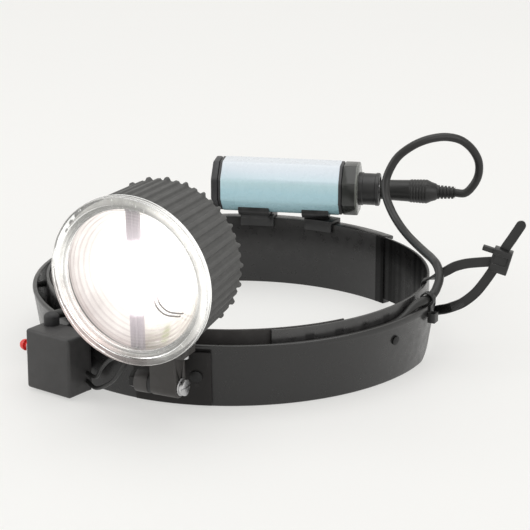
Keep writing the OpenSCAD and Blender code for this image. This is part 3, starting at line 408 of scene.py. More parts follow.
# Pitch, start and end of the fine rings, in mm
SEAL_RINGS = (1.3, 30, 32)
LENS_RINGS = (1.4, 22, 31)
BOWL_RINGS = (1.7, 20, 29)
SEAL_BUBBLES = 620
RING_BUBBLES = 900
EDGE_INSIDE = (34.4, 35.4)
EDGE_OUTSIDE = (36.5, 37.9)
FLARE_AT = (14, 10)
GLOW_AT = (2, 3.5)
GLINT_AT = (12, -25.5)
GLINT_FLAT = 0.6


def seal_material():
    """Grey translucent sealant with small bubbles, lit from the bowl and seen through the clear ring."""
    t = Tree("seal")
    x, y, r = lamp_polar(t)
    cells = t.cells(SEAL_BUBBLES)
    bubble = t.span(cells, 0.12, 0.3, 1, 0)
    patch = t.patchy(38, 0, 1, 2, (0.42, 0.58))
    mottle = t.blend(t.noise(260, 4), (0.3, 0.29, 0.28), (0.55, 0.54, 0.52))
    t.set(Base_Color=t.blend(t.times(bubble, patch), mottle, (0.95, 0.95, 0.93)),
          Roughness=t.patchy(300, 0.25, 0.5))
    lines = t.minus(1, t.times(fine_rings(t, r, *SEAL_RINGS), 0.35))
    uneven = t.times(t.patchy(120, 0.8, 1.1), lines)
    lit = t.span(lit_sides(t, x, y, r), 0, 1, 0.06, 0.5)
    t.set(Emission_Color=rim_glow_colour(t, x, y), Emission_Strength=t.times(lit, uneven),
          Normal=t.bump(cells, 0.6, 0.0002))
    return t.material


def clear(t, thin, thick, rough_low, rough_high):
    """Clear plastic, tinted a little unevenly and with a light haze."""
    t.set(Base_Color=t.blend(t.noise(120), thin, thick), Transmission_Weight=1, IOR=CLEAR_IOR,
          Roughness=t.patchy(240, rough_low, rough_high, 4, HAZE_REACH))


def ring_material():
    """Clear moulded ring with trapped bubbles; its outer edge pipes the lamp's light."""
    t = Tree("ring_clear")
    x, y, r = lamp_polar(t)
    spots = t.cells(RING_BUBBLES)
    clear(t, (0.93, 0.94, 0.94), (0.87, 0.88, 0.88), 0.02, 0.08)
    edge = t.times(t.span(r, *EDGE_INSIDE, 0.1, 1), t.span(r, *EDGE_OUTSIDE, 1, 0.25))
    lit = t.span(lit_sides(t, x, y, r), 0, 1, 0.1, 0.38)
    uneven = t.patchy(150, 0.55, 1.2, 4, NARROW_REACH)
    t.set(Emission_Color=rim_glow_colour(t, x, y), Emission_Strength=t.times(t.times(edge, lit), uneven),
          Normal=t.bump(t.span(spots, 0, 0.35, 1, 0), 0.25, 0.00006))
    return t.material


def lens_material():
    """Clear lens with a faint veil of scattered light and fine moulded rings near its edge."""
    t = Tree("lens_clear")
    x, y, r = lamp_polar(t)
    clear(t, (0.99, 0.995, 1), (0.93, 0.93, 0.94), 0, 0.02)
    flare = t.span(t.length(t.minus(x, FLARE_AT[0]), t.minus(y, FLARE_AT[1])), 8, 24, 0.1, 0.02)
    rings = fine_rings(t, r, *LENS_RINGS)
    t.set(Emission_Color=t.blend(t.noise(40), (1, 0.93, 0.9), (1, 0.98, 0.95)),
          Emission_Strength=t.plus(flare, t.times(rings, 0.07)), Normal=t.bump(rings, 0.1, 0.00004))
    return t.material


def reflector_material():
    """Bright metallised bowl, washed out by the source; rosy low on the left, beige low on the right."""
    t = Tree("reflector")
    x, y, r = lamp_polar(t)
    far = t.length(t.minus(x, GLOW_AT[0]), t.minus(y, GLOW_AT[1]))
    glow = t.span(t.plus(far, t.patchy(60, -3, 3)), 15, 37, 1, 0)
    rosy = t.ramp(glow, [(0, (0.86, 0.74, 0.7)), (0.22, (0.93, 0.85, 0.8)), (0.5, (0.97, 0.92, 0.85)),
                         (0.68, (1, 0.97, 0.9)), (1, (1, 1, 1))])
    beige = t.ramp(glow, [(0, (0.42, 0.37, 0.3)), (0.25, (0.62, 0.56, 0.47)), (0.5, (0.88, 0.83, 0.75)),
                          (0.68, (1, 0.98, 0.93)), (1, (1, 1, 1))])
    colour = t.blend(t.span(x, -3, 4, 0, 1), rosy, beige)
    beside = t.length(t.minus(x, GLINT_AT[0]), t.times(t.minus(y, GLINT_AT[1]), GLINT_FLAT))
    colour = t.blend(t.span(beside, 1.2, 2.6, 0.7, 0), colour, (0.42, 0.44, 0.2))
    lines = t.blend(t.times(fine_rings(t, r, *BOWL_RINGS), 0.5), colour, (0.5, 0.4, 0.38))
    t.set(Base_Color=t.blend(t.noise(150), (0.14, 0.135, 0.13), (0.22, 0.215, 0.21)), Metallic=1,
          Roughness=t.patchy(500, 0.12, 0.25), Emission_Color=lines,
          Emission_Strength=t.span(glow, 0, 1, 0.62, 1.6), Normal=t.bump(t.noise(220, 2), 0.2, 0.0001))
    return t.material


def lit_material(name, base, rough, dark_from, strength, haze):
    """A piece in the beam, washed out near the source: dark_from is where it shows its own colour."""
    t = Tree(name)
    _, _, r = lamp_polar(t)
    glow = t.span(t.plus(r, t.times(t.noise(200, 3), 3)), dark_from - 3.5, dark_from + 2.5, 1, 0)
    veil = t.span(r, 18, 31, haze, 0.28 * haze)
    t.set(Base_Color=t.blend(t.noise(400, 3), scaled(base, 0.75), base),
          Roughness=t.patchy(500, rough - 0.1, rough + 0.1),
          Emission_Color=t.blend(t.span(glow, 0.2, 0.9, 0, 1), (1, 0.88, 0.93), (1, 0.99, 0.98)),
          Emission_Strength=t.plus(t.times(t.times(glow, glow), strength), veil),
          Normal=t.bump(t.noise(1400), 0.3, 0.00003))
    return t.material


CAP_FACE = (36.6, 37.5)
CAP_MOUTH = (8.8, 10)
SLEEVE_LOW, SLEEVE_HIGH = 0.039, 0.066


def cap_material():
    """Smoky end cap: dark sides, and a pale translucent end face round the socket."""
    t = Tree("cap_clear")
    u, v, w = t.parts(t.local(PACK))
    rim = t.times(t.span(u, *CAP_FACE, 0, 1), t.span(t.length(v, w), *CAP_MOUTH, 0, 1))
    dark = t.blend(t.noise(200), (0.026, 0.028, 0.026), (0.045, 0.047, 0.044))
    pale = t.blend(t.noise(240, 3), (0.26, 0.275, 0.25), (0.42, 0.44, 0.4))
    t.set(Base_Color=t.blend(rim, dark, pale), Transmission_Weight=t.times(rim, 0.6), IOR=CLEAR_IOR,
          Roughness=t.patchy(240, 0.12, 0.25, 4, HAZE_REACH),
          Normal=t.bump(t.noise(300, 2), 0.2, 0.00005))
    return t.material


def label_material():
    """Plain sleeve: near white above, pale blue below, teal along its lower edge."""
    t = Tree("label")
    level = t.span(t.parts(t.coords)[2], SLEEVE_LOW, SLEEVE_HIGH, 0, 1)
    uneven = t.plus(level, t.times(t.noise(60, 3), 0.03))
    colour = t.ramp(uneven, [(0, (0.1, 0.18, 0.19)), (0.1, (0.32, 0.53, 0.59)), (0.22, (0.42, 0.68, 0.76)),
                             (0.48, (0.55, 0.83, 0.92)), (0.68, (0.66, 0.9, 0.96)), (0.73, (0.6, 0.76, 0.83)),
                             (0.86, (0.68, 0.77, 0.84)), (1, (0.76, 0.81, 0.86))])
    fibres = t.noise(1400, 2, 0.5, t.stretched((1, 1, 0.3)))
    t.set(Base_Color=t.blend(t.span(fibres, *NOISE_REACH, 0, 0.07), colour, (0.75, 0.8, 0.82)),
          Roughness=t.patchy(240, 0.22, 0.34), Coat_Weight=0.3, Coat_Roughness=0.1,
          Normal=t.bump(t.noise(110, 2), 0.3, 0.0001))
    return t.material


# Colour, least and most roughness, grains per metre, their depth and the wear along the edges, then
# the worn colour, the coat, the shine and the painted light and shade where they aren't the usual ones
PLASTICS = {
    "band_plastic": ((0.014, 0.0135, 0.0135), (0.24, 0.38), 1500, 0.000015, 0.4, None, 0.15),
    # The rear moulding's plastic carries painted shade and a painted sheen on its right tongue
    "rear_plastic": ((0.016, 0.0155, 0.0155), (0.24, 0.38), 1500, 0.000015, 0.3, None, 0.1, 0.5,
                     tongue_painted_light),
    # The bracket's plastic carries a painted shadow on its plate
    "ear_plastic": ((0.047, 0.044, 0.043), (0.4, 0.55), 1900, 0.00003, 0.4, None, 0, 0.5, plate_painted_shadow),
    "cable": ((0.014, 0.014, 0.0135), (0.3, 0.42), 1500, 0.00003, 0.1, None, 0, 0.42),
    "red_plastic": ((0.8, 0.035, 0.03), (0.22, 0.34), 1500, 0.00001, 0.3, (0.9, 0.2, 0.15)),
    "liner_foam": ((0.03, 0.027, 0.026), (0.6, 0.8), 2600, 0.00008, 0.2),
    "housing": ((0.074, 0.074, 0.072), (0.5, 0.66), 2200, 0.00005, 0.35),
    "box_plastic": ((0.042, 0.041, 0.041), (0.46, 0.6), 2400, 0.00005, 0.3),
    "mount_plastic": ((0.014, 0.014, 0.0145), (0.3, 0.45), 1900, 0.00003, 0.45),
    "foot_plastic": ((0.036, 0.033, 0.031), (0.4, 0.55), 1900, 0.00003, 0.4),
    "grey_plastic": ((0.03, 0.03, 0.032), (0.4, 0.55), 1900, 0.00003, 0.5),
    "rubber": ((0.016, 0.016, 0.017), (0.48, 0.62), 2600, 0.00004, 0.15),
    "nylon": ((0.013, 0.013, 0.013), (0.28, 0.42), 1500, 0.00002, 0.4),
    "pcb": ((0.02, 0.12, 0.06), (0.3, 0.45), 900, 0.00002, 0.2),
    "cell_wrap": ((0.03, 0.04, 0.07), (0.3, 0.4), 900, 0.00001, 0.2),
}
# Colour, least and most roughness
METALS = {
    "steel": ((0.66, 0.66, 0.67), (0.22, 0.42)),
    "dull_steel": ((0.3, 0.3, 0.31), (0.35, 0.55)),
    "black_steel": ((0.045, 0.045, 0.045), (0.35, 0.55)),
    "brass": ((0.75, 0.55, 0.25), (0.25, 0.45)),
}
# Colour, roughness, distance from the axis where the light fades, strength and haze
IN_THE_BEAM = {
    "bridge": ((0.3, 0.265, 0.28), 0.45, 18, 3.5, 0.5),
    "board_white": ((0.8, 0.8, 0.76), 0.5, 40, 4, 0.5),
    "emitter": ((1, 0.9, 0.55), 0.4, 40, 8, 0.5),
    "wire_grey": ((0.16, 0.135, 0.11), 0.4, 14.5, 3, 0.1),
}


def make_materials():
    made = {"lens_clear": lens_material(), "ring_clear": ring_material(), "cap_clear": cap_material(),
            "seal": seal_material(), "reflector": reflector_material(), "label": label_material()}
    for finish, looks in ((plastic, PLASTICS), (metal, METALS), (lit_material, IN_THE_BEAM)):
        made.update({name: finish(name, *look) for name, look in looks.items()})
    return made


# ---------------- mesh tools

def shade(obj, angle=35):
    obj.data.shade_smooth()
    obj.data.set_sharp_from_angle(angle=math.radians(angle))


def bevel(obj, width, segments=2, angle=32):
    made = obj.modifiers.new("soft_edges", "BEVEL")
    made.width = width * MM
    made.segments = segments
    made.limit_method = "ANGLE"
    made.angle_limit = math.radians(angle)


def apply_modifiers(obj):
    deps = bpy.context.evaluated_depsgraph_get()
    solid = bpy.data.meshes.new_from_object(obj.evaluated_get(deps))
    obj.modifiers.clear()
    obj.data = solid


def soften(obj, width, segments=2):
    bevel(obj, width, segments)
    apply_modifiers(obj)


def link(name, data):
    obj = bpy.data.objects.new(name, data)
    bpy.context.scene.collection.objects.link(obj)
    return obj


def skin(rings, n):
    """Faces over rings of n points each, closed at both ends."""
    faces = []
    for first in range(0, (rings - 1) * n, n):
        for k in range(n):
            a, b = first + k, first + (k + 1) % n
            faces.append((a, b, b + n, a + n))
    return [*faces, tuple(range(n)), tuple(range((rings - 1) * n, rings * n))]


def circle(r, z, count):
    return [(r * math.cos(2 * math.pi * k / count), r * math.sin(2 * math.pi * k / count), z)
            for k in range(count)]


def mesh_object(name, verts, faces, matrix=None):
    """A mesh with verts in mm, set into the row frame by matrix."""
    data = bpy.data.meshes.new(name)
    data.from_pydata([Vector(v) * MM for v in verts], [], faces)
    if matrix is not None:
        data.transform(matrix)
    data.validate()
    obj = link(name, data)
    solid = bmesh.new()
    solid.from_mesh(data)
    bmesh.ops.recalc_face_normals(solid, faces=solid.faces)
    solid.to_mesh(data)
    solid.free()
    return obj


def join(name, objects):
    """Several made meshes as one object."""
    joined = bmesh.new()
    for o in objects:
        joined.from_mesh(o.data)
    data = bpy.data.meshes.new(name)
    joined.to_mesh(data)
    joined.free()
    for o in objects:
        bpy.data.objects.remove(o)
    return link(name, data)


def band_sweep(name, profile, start, end, step=1.5):
    """A closed profile of (offset, height), or a function of the angle, carried between two angles."""
    count = max(2, math.ceil((end - start) / step))
    at = profile if callable(profile) else lambda phi: profile
    verts = []
    for i in range(count + 1):
        phi = start + (end - start) * i / count
        verts += [band_point(phi, off, z) for off, z in at(phi)]
    return mesh_object(name, verts, skin(count + 1, len(at(start))))


def lathe(name, profile, matrix, segments, closed=False):
    """A profile of (radius, height along +Z) turned about Z; radius 0 closes on the axis."""
    verts, faces, rings = [], [], []
    for r, z in profile:
        points = circle(r, z, segments) if r else [(0, 0, z)]
        rings.append(range(len(verts), len(verts) + len(points)))
        verts += points
    for a, b in zip(rings, rings[1:] + rings[:1] if closed else rings[1:]):
        if len(a) == len(b) == 1:
            continue
        for k in range(segments):
            j = (k + 1) % segments
            if len(a) == 1:
                faces.append((a[0], b[k], b[j]))
            elif len(b) == 1:
                faces.append((a[k], b[0], a[j]))
            else:
                faces.append((a[k], b[k], b[j], a[j]))
    return mesh_object(name, verts, faces, matrix)


def meet(a, b, t, start, end):
    """The place at t on the way that is at a at start and at b at end."""
    return (a * (end - t) + b * (t - start)) / (end - start)


def smooth_path(points, spacing=1.2):
    """Points about spacing apart on the smooth curve through the given ones, in mm."""
    p = [Vector(q) for q in points]
    p = [2 * p[0] - p[1], *p, 2 * p[-1] - p[-2]]
    out = []
    for i in range(1, len(p) - 2):
        a, b, c, d = p[i - 1:i + 3]
        knots = [0.0]
        for u, v in ((a, b), (b, c), (c, d)):
            knots.append(knots[-1] + max(1e-6, (v - u).length) ** 0.5)
        k0, k1, k2, k3 = knots
        steps = max(1, round((c - b).length / spacing))
        for s in range(steps):
            t = k1 + (k2 - k1) * s / steps
            ab, bc, cd = meet(a, b, t, k0, k1), meet(b, c, t, k1, k2), meet(c, d, t, k2, k3)
            out.append(meet(meet(ab, bc, t, k0, k2), meet(bc, cd, t, k1, k3), t, k1, k2))
    out.append(p[-2])
    return out


def tube(name, path, d, sides=16):
    """A round tube along a path in mm, its rings carried without twist."""
    verts = []
    side = None
    for i, p in enumerate(path):
        along = (path[min(i + 1, len(path) - 1)] - path[max(i - 1, 0)]).normalized()
        if side is None:
            side = along.orthogonal().normalized()
        side = (side - along * side.dot(along)).normalized()
        other = along.cross(side)
        verts += [p + (side * x + other * y) * d / 2 for x, y, _ in circle(1, 0, sides)]
    return mesh_object(name, verts, skin(len(path), sides))


def cut(obj, cutters):
    """Takes the cutters out of obj."""
    tool = join("cutters", cutters)
    made = obj.modifiers.new("cut", "BOOLEAN")
    made.operation = "DIFFERENCE"
    made.solver = "EXACT"
    made.use_self = True
    made.object = tool
    apply_modifiers(obj)
    bpy.data.objects.remove(tool)


def prism(name, outline, depth, matrix):
    """An outline in mm in the XY plane, extruded along +Z by depth."""
    n = len(outline)
    verts = [(x, y, 0) for x, y in outline] + [(x, y, depth) for x, y in outline]
    faces = [tuple(range(n)), tuple(range(n, 2 * n))]
    faces += [(k, (k + 1) % n, (k + 1) % n + n, k + n) for k in range(n)]
    return mesh_object(name, verts, faces, matrix)


def block(name, low, high, matrix):
    (x0, y0, z0), (x1, y1, z1) = low, high
    return prism(name, [(x0, y0), (x1, y0), (x1, y1), (x0, y1)], z1 - z0, matrix @ shift(0, 0, z0))


def paint(obj, material):
    obj.data.materials.clear()
    obj.data.materials.append(material)


def place(obj, body, material, replaced, soft=None, segments=2, angle=35):
    """Finishes a made piece: its edges, shading, material, body and the CAD node that it stands for."""
    if soft:
        soften(obj, soft, segments)
    shade(obj, angle)
    paint(obj, material)
    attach(obj, body)
    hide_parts(replaced)
    return obj


# ---------------- headband

REAR = (38, 122)
RIGHT_TONGUE = (-79, 39)
LEFT_TONGUE = (121, 207)
FRONT = (152, 339.5)
LINER = (182, 302.5)
TONGUE = (0.6, 1.9)
TONGUE_Z = FLANGE_T + 0.6
RIGHT_STUD = -43
LEFT_STUD = 168
STUD_Z = 21
HOLE_STEP = math.degrees(13 / BAND_R)
HOLE_Z = STUD_Z + FRONT_LEAN / FRONT_H * (wall_out(STUD_Z) - TONGUE[1])
HOLE_R = 1.6
SMALL_TIE_AT = -25.5
BIG_TIE_AT = -13
SLOT_W, SLOT_LOW, SLOT_HIGH = 5.3, 19.4, 21.8
REAR_WALL = 2
FLANGE_LOW = 4.5
FLANGE_TOP = 6.5
CORNER_R = 8
BEAD_FROM, BEAD_SPREAD, BEAD_GROWTH = 285, 45, 1.6


def tongue_holes(stud, first, last):
    """Cutters for a tongue's sizing holes, counted from the one that the stud is in."""
    return [lathe("hole", [(0, -1), (HOLE_R, -1), (HOLE_R, 3), (0, 3)],
                  at_band(stud + k * HOLE_STEP, 0, HOLE_Z) @ ALONG_X, 24)
            for k in range(first, last)]


def make_rear_band(material):
    top = BAND_H - FLANGE_T
    wall = band_sweep("wall", [(0, 0), (FLANGE_LOW, 0), (FLANGE_LOW, FLANGE_T), (REAR_WALL, FLANGE_T),
                               (REAR_WALL, top), (FLANGE_TOP, top), (FLANGE_TOP, BAND_H), (0, BAND_H)], *REAR)
    low, high = TONGUE
    flat = [(low, TONGUE_Z), (high, TONGUE_Z), (high, BAND_H), (low, BAND_H)]
    right = band_sweep("right", flat, *RIGHT_TONGUE)
    left = band_sweep("left", flat, *LEFT_TONGUE)
    slot = block("slot", (-0.5, -SLOT_W / 2, SLOT_LOW), (3, SLOT_W / 2, SLOT_HIGH), at_band(BIG_TIE_AT))
    cut(right, tongue_holes(RIGHT_STUD, -3, 7) + [slot])
    cut(left, tongue_holes(LEFT_STUD, -4, 4))
    for part in (wall, right, left):
        soften(part, 0.28)
    place(join("rear_band_shell", [wall, right, left]), "band", material, "rear_band")


def end_corner(phi, direction):
    """What rounds a lower corner of the front wall's end, as a cutter."""
    r = CORNER_R
    arc = [(direction * (r - r * cosd(a)), r - r * sind(a)) for a in range(0, 91, 10)]
    outline = [(-direction, -1), (-direction, r), *arc, (direction * r, -1)]
    return prism("corner", outline, 14, at_band(phi, -3) @ turn(90, "Z") @ turn(90, "X"))


def make_front_band(material):
    """The wall with its bead, which grows taller and softer towards the wearer's left."""
    bead_z = FRONT_H - BEAD_H
    reach = wall_out(bead_z) + BEAD_OUT
    inner = wall_in(bead_z)

    def profile(phi):
        bead_h = BEAD_H + BEAD_GROWTH * min(1.0, max(0.0, (phi - BEAD_FROM) / BEAD_SPREAD))
        top = FRONT_H - bead_h
        start = wall_out(top)
        bead = [(start + (reach + 0.15 * math.sin(math.pi * k / 4) - start) * min(1, (k + 1) / 2.5),
                 top + 0.1 + (bead_h - 0.3) * k / 4) for k in range(5)]
        return [(-1, 0), (3.2, 0), (3.8, 0.25), (4.05, 0.8), (wall_out(top - 0.3), top - 0.3), *bead,
                (reach - 0.4, FRONT_H), (inner + 0.3, FRONT_H), (inner, FRONT_H - 0.3), (inner, bead_z),
                (wall_in(FLANGE_T), FLANGE_T), (-1, FLANGE_T)]

    wall = band_sweep("front_band_shell", profile, *FRONT)
    cut(wall, [end_corner(FRONT[1], -1), end_corner(FRONT[0], 1)])
    place(wall, "band", material, "front_band", soft=0.22)


def make_liner(material):
    outline = [(-1.0, 2.4), (-0.7, 1.8), (0.1, 1.8), (0.3, 2.2), (0.3, 34.6), (0.05, 35.2), (-0.75, 35.3),
               (-1.0, 34.8)]
    place(band_sweep("brow_liner_pad", outline, *LINER), "band", material, "brow_liner", soft=0.2, angle=50)


# ---------------- lamp head

RING_R = 38
RING_BACK = -4.4
SEAL_BACK = -5.2
HOUSING_LEN = 33.8
HOUSING_BACK = SEAL_BACK - HOUSING_LEN
GROOVE_FRONT = 36.2
GROOVE_REAR = 33.8
HOUSING_WALL = 2.2
RIBS = 48
FLANGE_FRONT = SEAL_BACK - 3.2
BOWL_R = 30
BOWL_DEPTH = 17
BOWL_STEPS = 36
BOWL_STEP_H = 0.05
RING_BORE = 31.6
RIB_POINTS = 14
RIB_SHARE = 0.5
GRIP_SHARE = 0.36
GRIP_LIFT = 0.95
GRIP_LEN = 3.1
PAD_Y = -37.6
WIRE_D = 0.8
LEAD_D = 1.8
LEADS_BACK = 12
GLAND = (-13, -18)


def groove_r(z):
    return GROOVE_FRONT - (GROOVE_FRONT - GROOVE_REAR) * (SEAL_BACK - z) / HOUSING_LEN


def make_housing(material):
    """Ribbed shell: flat-topped ribs with rounded shoulders, grip bumps on every second rib at the rear."""
    around = RIBS * RIB_POINTS
    levels = [0, 0.25, 0.8, 2.3, 2.9, 3.3, 12, 22, 32.6, 33.4, HOUSING_LEN]

    def crest(share, width):
        """How much of a rib's height is reached at a share of its pitch."""
        edge = abs(share - 0.5) * 2
        x = min(1.0, max(0.0, (width + 0.16 - edge) / 0.32))
        return x * x * (3 - 2 * x)

    verts, faces = [], []
    for h in levels:
        z = HOUSING_BACK + h
        ends = min(1.0, 0.72 + h, 0.72 + (HOUSING_LEN - h) * 0.6)
        grip = max(0.0, min(1.0, (GRIP_LEN - h) / 0.5)) * min(1.0, 0.5 + h * 1.4)
        for k in range(around):
            rib, share = divmod(k / RIB_POINTS + 0.5, 1)
            lift = crest(share, RIB_SHARE) * ends
            if int(rib) % 2 == 0:
                lift = max(lift, crest(share, GRIP_SHARE) * (1 + GRIP_LIFT * grip) * ends)
            a = 2 * math.pi * k / around
            r = groove_r(z) + lift
            verts.append((r * math.cos(a), r * math.sin(a), z))
    inner = len(verts)
    for h in (0, HOUSING_LEN):
        z = HOUSING_BACK + h
        verts += circle(groove_r(z) - HOUSING_WALL, z, around)
    last = (len(levels) - 1) * around
    for k in range(around):
        j = (k + 1) % around
        for i in range(len(levels) - 1):
            a, b = i * around + k, i * around + j
            faces.append((a, b, b + around, a + around))
        faces.append((last + k, last + j, inner + around + j, inner + around + k))
        faces.append((inner + k, inner + j, j, k))
        faces.append((inner + around + k, inner + around + j, inner + j, inner + k))
    shell = mesh_object("shell", verts, faces, LAMP)
    pad = block("pad", (-17.5, PAD_Y, -31.8), (14.9, -33.4, -13.6), LAMP)
    soften(pad, 0.5, 3)
    place(join("housing_shell", [shell, pad]), "lamp_head", material, "lamp_housing", angle=60)


def make_lens_ring(material):
    r, w = RING_R, RING_BORE
    profile = [(w + 1.1, RING_BACK), (r - 0.25, RING_BACK), (r, RING_BACK + 0.25), (r, -1.2),
               (r - 0.12, -0.6), (r - 0.45, -0.15), (r - 1.0, 0), (r - 3.0, 0), (r - 3.35, -0.2),
               (r - 3.7, -0.9), (r - 4.4, -0.95), (r - 4.8, -1.2), (r - 5.1, -1.7), (w + 0.2, -1.75),
               (w, -1.95), (w, RING_BACK + 1.4), (w + 1.1, RING_BACK + 1.4)]
    ring = lathe("lens_ring_clear", profile, LAMP, 160, closed=True)
    place(ring, "lamp_head", material, "lens_ring", angle=30)


def make_reflector(material):
    """A bowl with fine turned steps, and its flat rim."""
    def depth(r):
        return BOWL_DEPTH * (1 - (r / BOWL_R) ** 2)

    radii = [BOWL_R * k / BOWL_STEPS for k in range(BOWL_STEPS + 1)]
    profile = [(r, FLANGE_FRONT - 0.2 - depth(r) + BOWL_STEP_H * (k % 2)) for k, r in enumerate(radii)]
    rim = groove_r(FLANGE_FRONT) - HOUSING_WALL - 0.3
    profile += [(BOWL_R + 0.4, FLANGE_FRONT), (rim, FLANGE_FRONT), (rim, FLANGE_FRONT - 1),
                (BOWL_R + 1.2, FLANGE_FRONT - 1)]
    profile += [(r * (BOWL_R + 0.6) / BOWL_R, FLANGE_FRONT - 1.4 - depth(r)) for r in radii[-2::-1]]
    bowl = lathe("reflector_bowl", profile, LAMP, 128)
    place(bowl, "lamp_head", material, "reflector", angle=40)


def make_wires(material):
    board = FLANGE_FRONT - 1 - BOWL_DEPTH - 4
    route = [(17, -17, board + 0.1), (17, -17, FLANGE_FRONT - BOWL_DEPTH + 4), (18.3, -16.6, -14),
             (16.5, -16, -11.6), (12.5, -15.6, -11), (9, -13, -10.8), (7.4, -8.5, -10.6), (7, -4, -10.4)]
    wires = []
    for s in (-WIRE_D, WIRE_D):
        path = smooth_path([in_frame(LAMP, x + s, y + s, z) for x, y, z in route])
        wires.append(tube("wire", path, WIRE_D, 10))
    place(join("led_leads", wires), "lamp_head", material, "led_wires")


def make_lamp_leads(material):
    """Two thin leads from the box up into the lamp's gland; they bend as the lamp tilts."""
    def at_gland(side, off):
        return in_frame(LAMP, GLAND[0] + side, PAD_Y + off, GLAND[1])

    def at_box(z):
        return in_frame(BOX, BOX_SIZE[0], LEADS_BACK, z)

    routes = [
        [at_box(5.5), band_point(-125.4, 16.9, 6.5), band_point(-119.2, 20.7, 13), band_point(-115.5, 24, 21),
         at_gland(1.2, -5), at_gland(1.2, 2)],
        [at_box(9.5), band_point(-125.7, 16, 11.5), band_point(-122.5, 19.2, 18),
         band_point(-119.1, 22.2, 24), band_point(-116, 24.5, 27.5), at_gland(-1.2, -2.6), at_gland(-1.2, 2)],
    ]
    leads = join("lamp_lead_pair", [tube("lead", smooth_path(r, 0.9), LEAD_D, 12) for r in routes])
    shade(leads)
    paint(leads, material)
    start = at_box(7.5) * MM
    end = at_gland(0, -1.4) * MM
    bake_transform(leads, "band", "lamp_head", start=tuple(start), end=tuple(end))
    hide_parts("lamp_leads")


# ---------------- switch box

BOOT_AT = (5.5, 11.9)
BUTTON_AT = (0, 6.5, 17.5)
BUTTON_REACH = 8.8
BUTTON_R = 2.7


def make_switch_box(material, rubber, red):
    """The box with its seam, the domed button and the boot that the cable goes into."""
    shell = block("switch_box_shell", (0, 0, 0), BOX_SIZE, BOX)
    soften(shell, 1.5, 5)
    cut(shell, [block("seam", (-1, 13.9, -1), (28, 14.15, 30), BOX)])
    core = block("core", (0.35, 13, 0.35), (26.05, 15, 28.05), BOX)
    place(join("switch_box_shell", [shell, core]), "band", material, "switch_box", angle=40)
    dome = [(0, BUTTON_REACH), (0.9, 8.72), (1.6, 8.4), (2.15, 7.8), (2.5, 7.0), (2.68, 6.1),
            (BUTTON_R, 5.55), (BUTTON_R - 0.2, 5.4), (1.7, 5.4), (1.7, -4), (0, -4)]
    at = BOX @ shift(*BUTTON_AT) @ turn(-90, "Y")
    place(lathe("button_dome", dome, at, 48), "button", red, "button_cap", angle=40)
    boot = [(0, 0.05), (3.6, 0.05), (3.6, 3.9), (3.45, 4.35), (3.0, 4.9), (2.4, 5.4), (1.6, 5.87),
            (0.8, 6.12), (0, 6.2)]
    at = BOX @ shift(*BOOT_AT, BOX_SIZE[2])
    place(lathe("box_boot", boot, at, 40), "band", rubber, "box_gland", angle=50)


# ---------------- battery pack

PACK_ACROSS = 26
SLEEVE_ACROSS = 26.4


def pack_prism(name, across, start, end):
    """An eight-sided piece of the pack, between two places along it."""
    r = across / 2 / cosd(22.5)
    outline = [(r * cosd(22.5 + 45 * k), r * sind(22.5 + 45 * k)) for k in range(8)]
    return prism(name, outline, end - start, PACK @ shift(start, 0, 0) @ ALONG_X)


def make_pack(m):
    """The case shows only at its ends, beyond the sleeve; caps and sleeve have rounded edges."""
    case = pack_prism("battery_case_shell", PACK_ACROSS, -33.95, 29.95)
    place(case, "band", m["grey_plastic"], "battery_case", soft=0.8)
    sleeve = pack_prism("sleeve", SLEEVE_ACROSS, -33, 29)
    place(sleeve, "band", m["label"], "battery_label", soft=1.2, segments=4, angle=50)
    left = pack_prism("left_cap_shell", PACK_ACROSS, -37.5, -34)
    place(left, "band", m["grey_plastic"], "left_end_cap", soft=0.9)
    right = pack_prism("socket_cap_shell", PACK_ACROSS, 30, 38)
    place(right, "band", m["cap_clear"], "socket_end_cap", soft=0.9)
    socket = [(6.45, 47.9), (6.6, 48.5), (8.1, 48.5), (8.5, 48.1), (8.5, 46.6), (8.15, 46.3), (8.15, 40.2),
              (8.5, 39.9), (8.5, 38.05), (6.45, 38.05)]
    place(lathe("socket_collar", socket, PACK_AXIS, 64, closed=True), "band", m["mount_plastic"], "dc_socket")


PLUG_START = 48.8
PLUG_TO = 78
RELIEF_TO = 87
RIDGES = 5
GRIP_PITCH = 1.5
RELIEF_PITCH = 1.8


def make_plug(m):
    """The plug's ridged grip and its stepped strain relief."""
    body = [(2.6, PLUG_START), (4.6, PLUG_START), (4.9, 49.1), (4.9, 51.2), (5.15, 51.6), (5.2, 52.2),
            (5.55, 63.4)]
    for k in range(RIDGES):
        u, low, high = 64.2 + k * GRIP_PITCH, 5.75 + 0.06 * k, 5.95 + 0.05 * k
        body += [(low, u), (high, u + 0.35), (high, u + 0.85), (low, u + 1.2)]
    body += [(6.15, 72.2), (6.05, 72.8), (5.0, 75.0), (4.3, 77.2), (3.6, PLUG_TO), (0, PLUG_TO), (0, 50.4),
             (2.6, 50.4)]
    plug = place(lathe("plug_grip", body, PACK_AXIS, 64, closed=True), "band", m["cable"], "plug_body")
    relief = [(2.1, PLUG_TO), (3.6, PLUG_TO)]
    for k in range(RIDGES):
        u, r = PLUG_TO + k * RELIEF_PITCH, 3.6 - 0.1 * k
        relief += [(r, u + 1.0), (r - 0.15, u + 1.12), (r - 0.75, u + 1.2), (r - 0.75, u + 1.7),
                   (r - 0.15, u + 1.78)]
    relief += [(2.5, RELIEF_TO), (0, RELIEF_TO), (0, PLUG_TO)]
    relief = lathe("plug_relief", relief, PACK_AXIS, 48)
    return plug, place(relief, "band", m["cable"], "plug_strain_relief")


# ---------------- cables

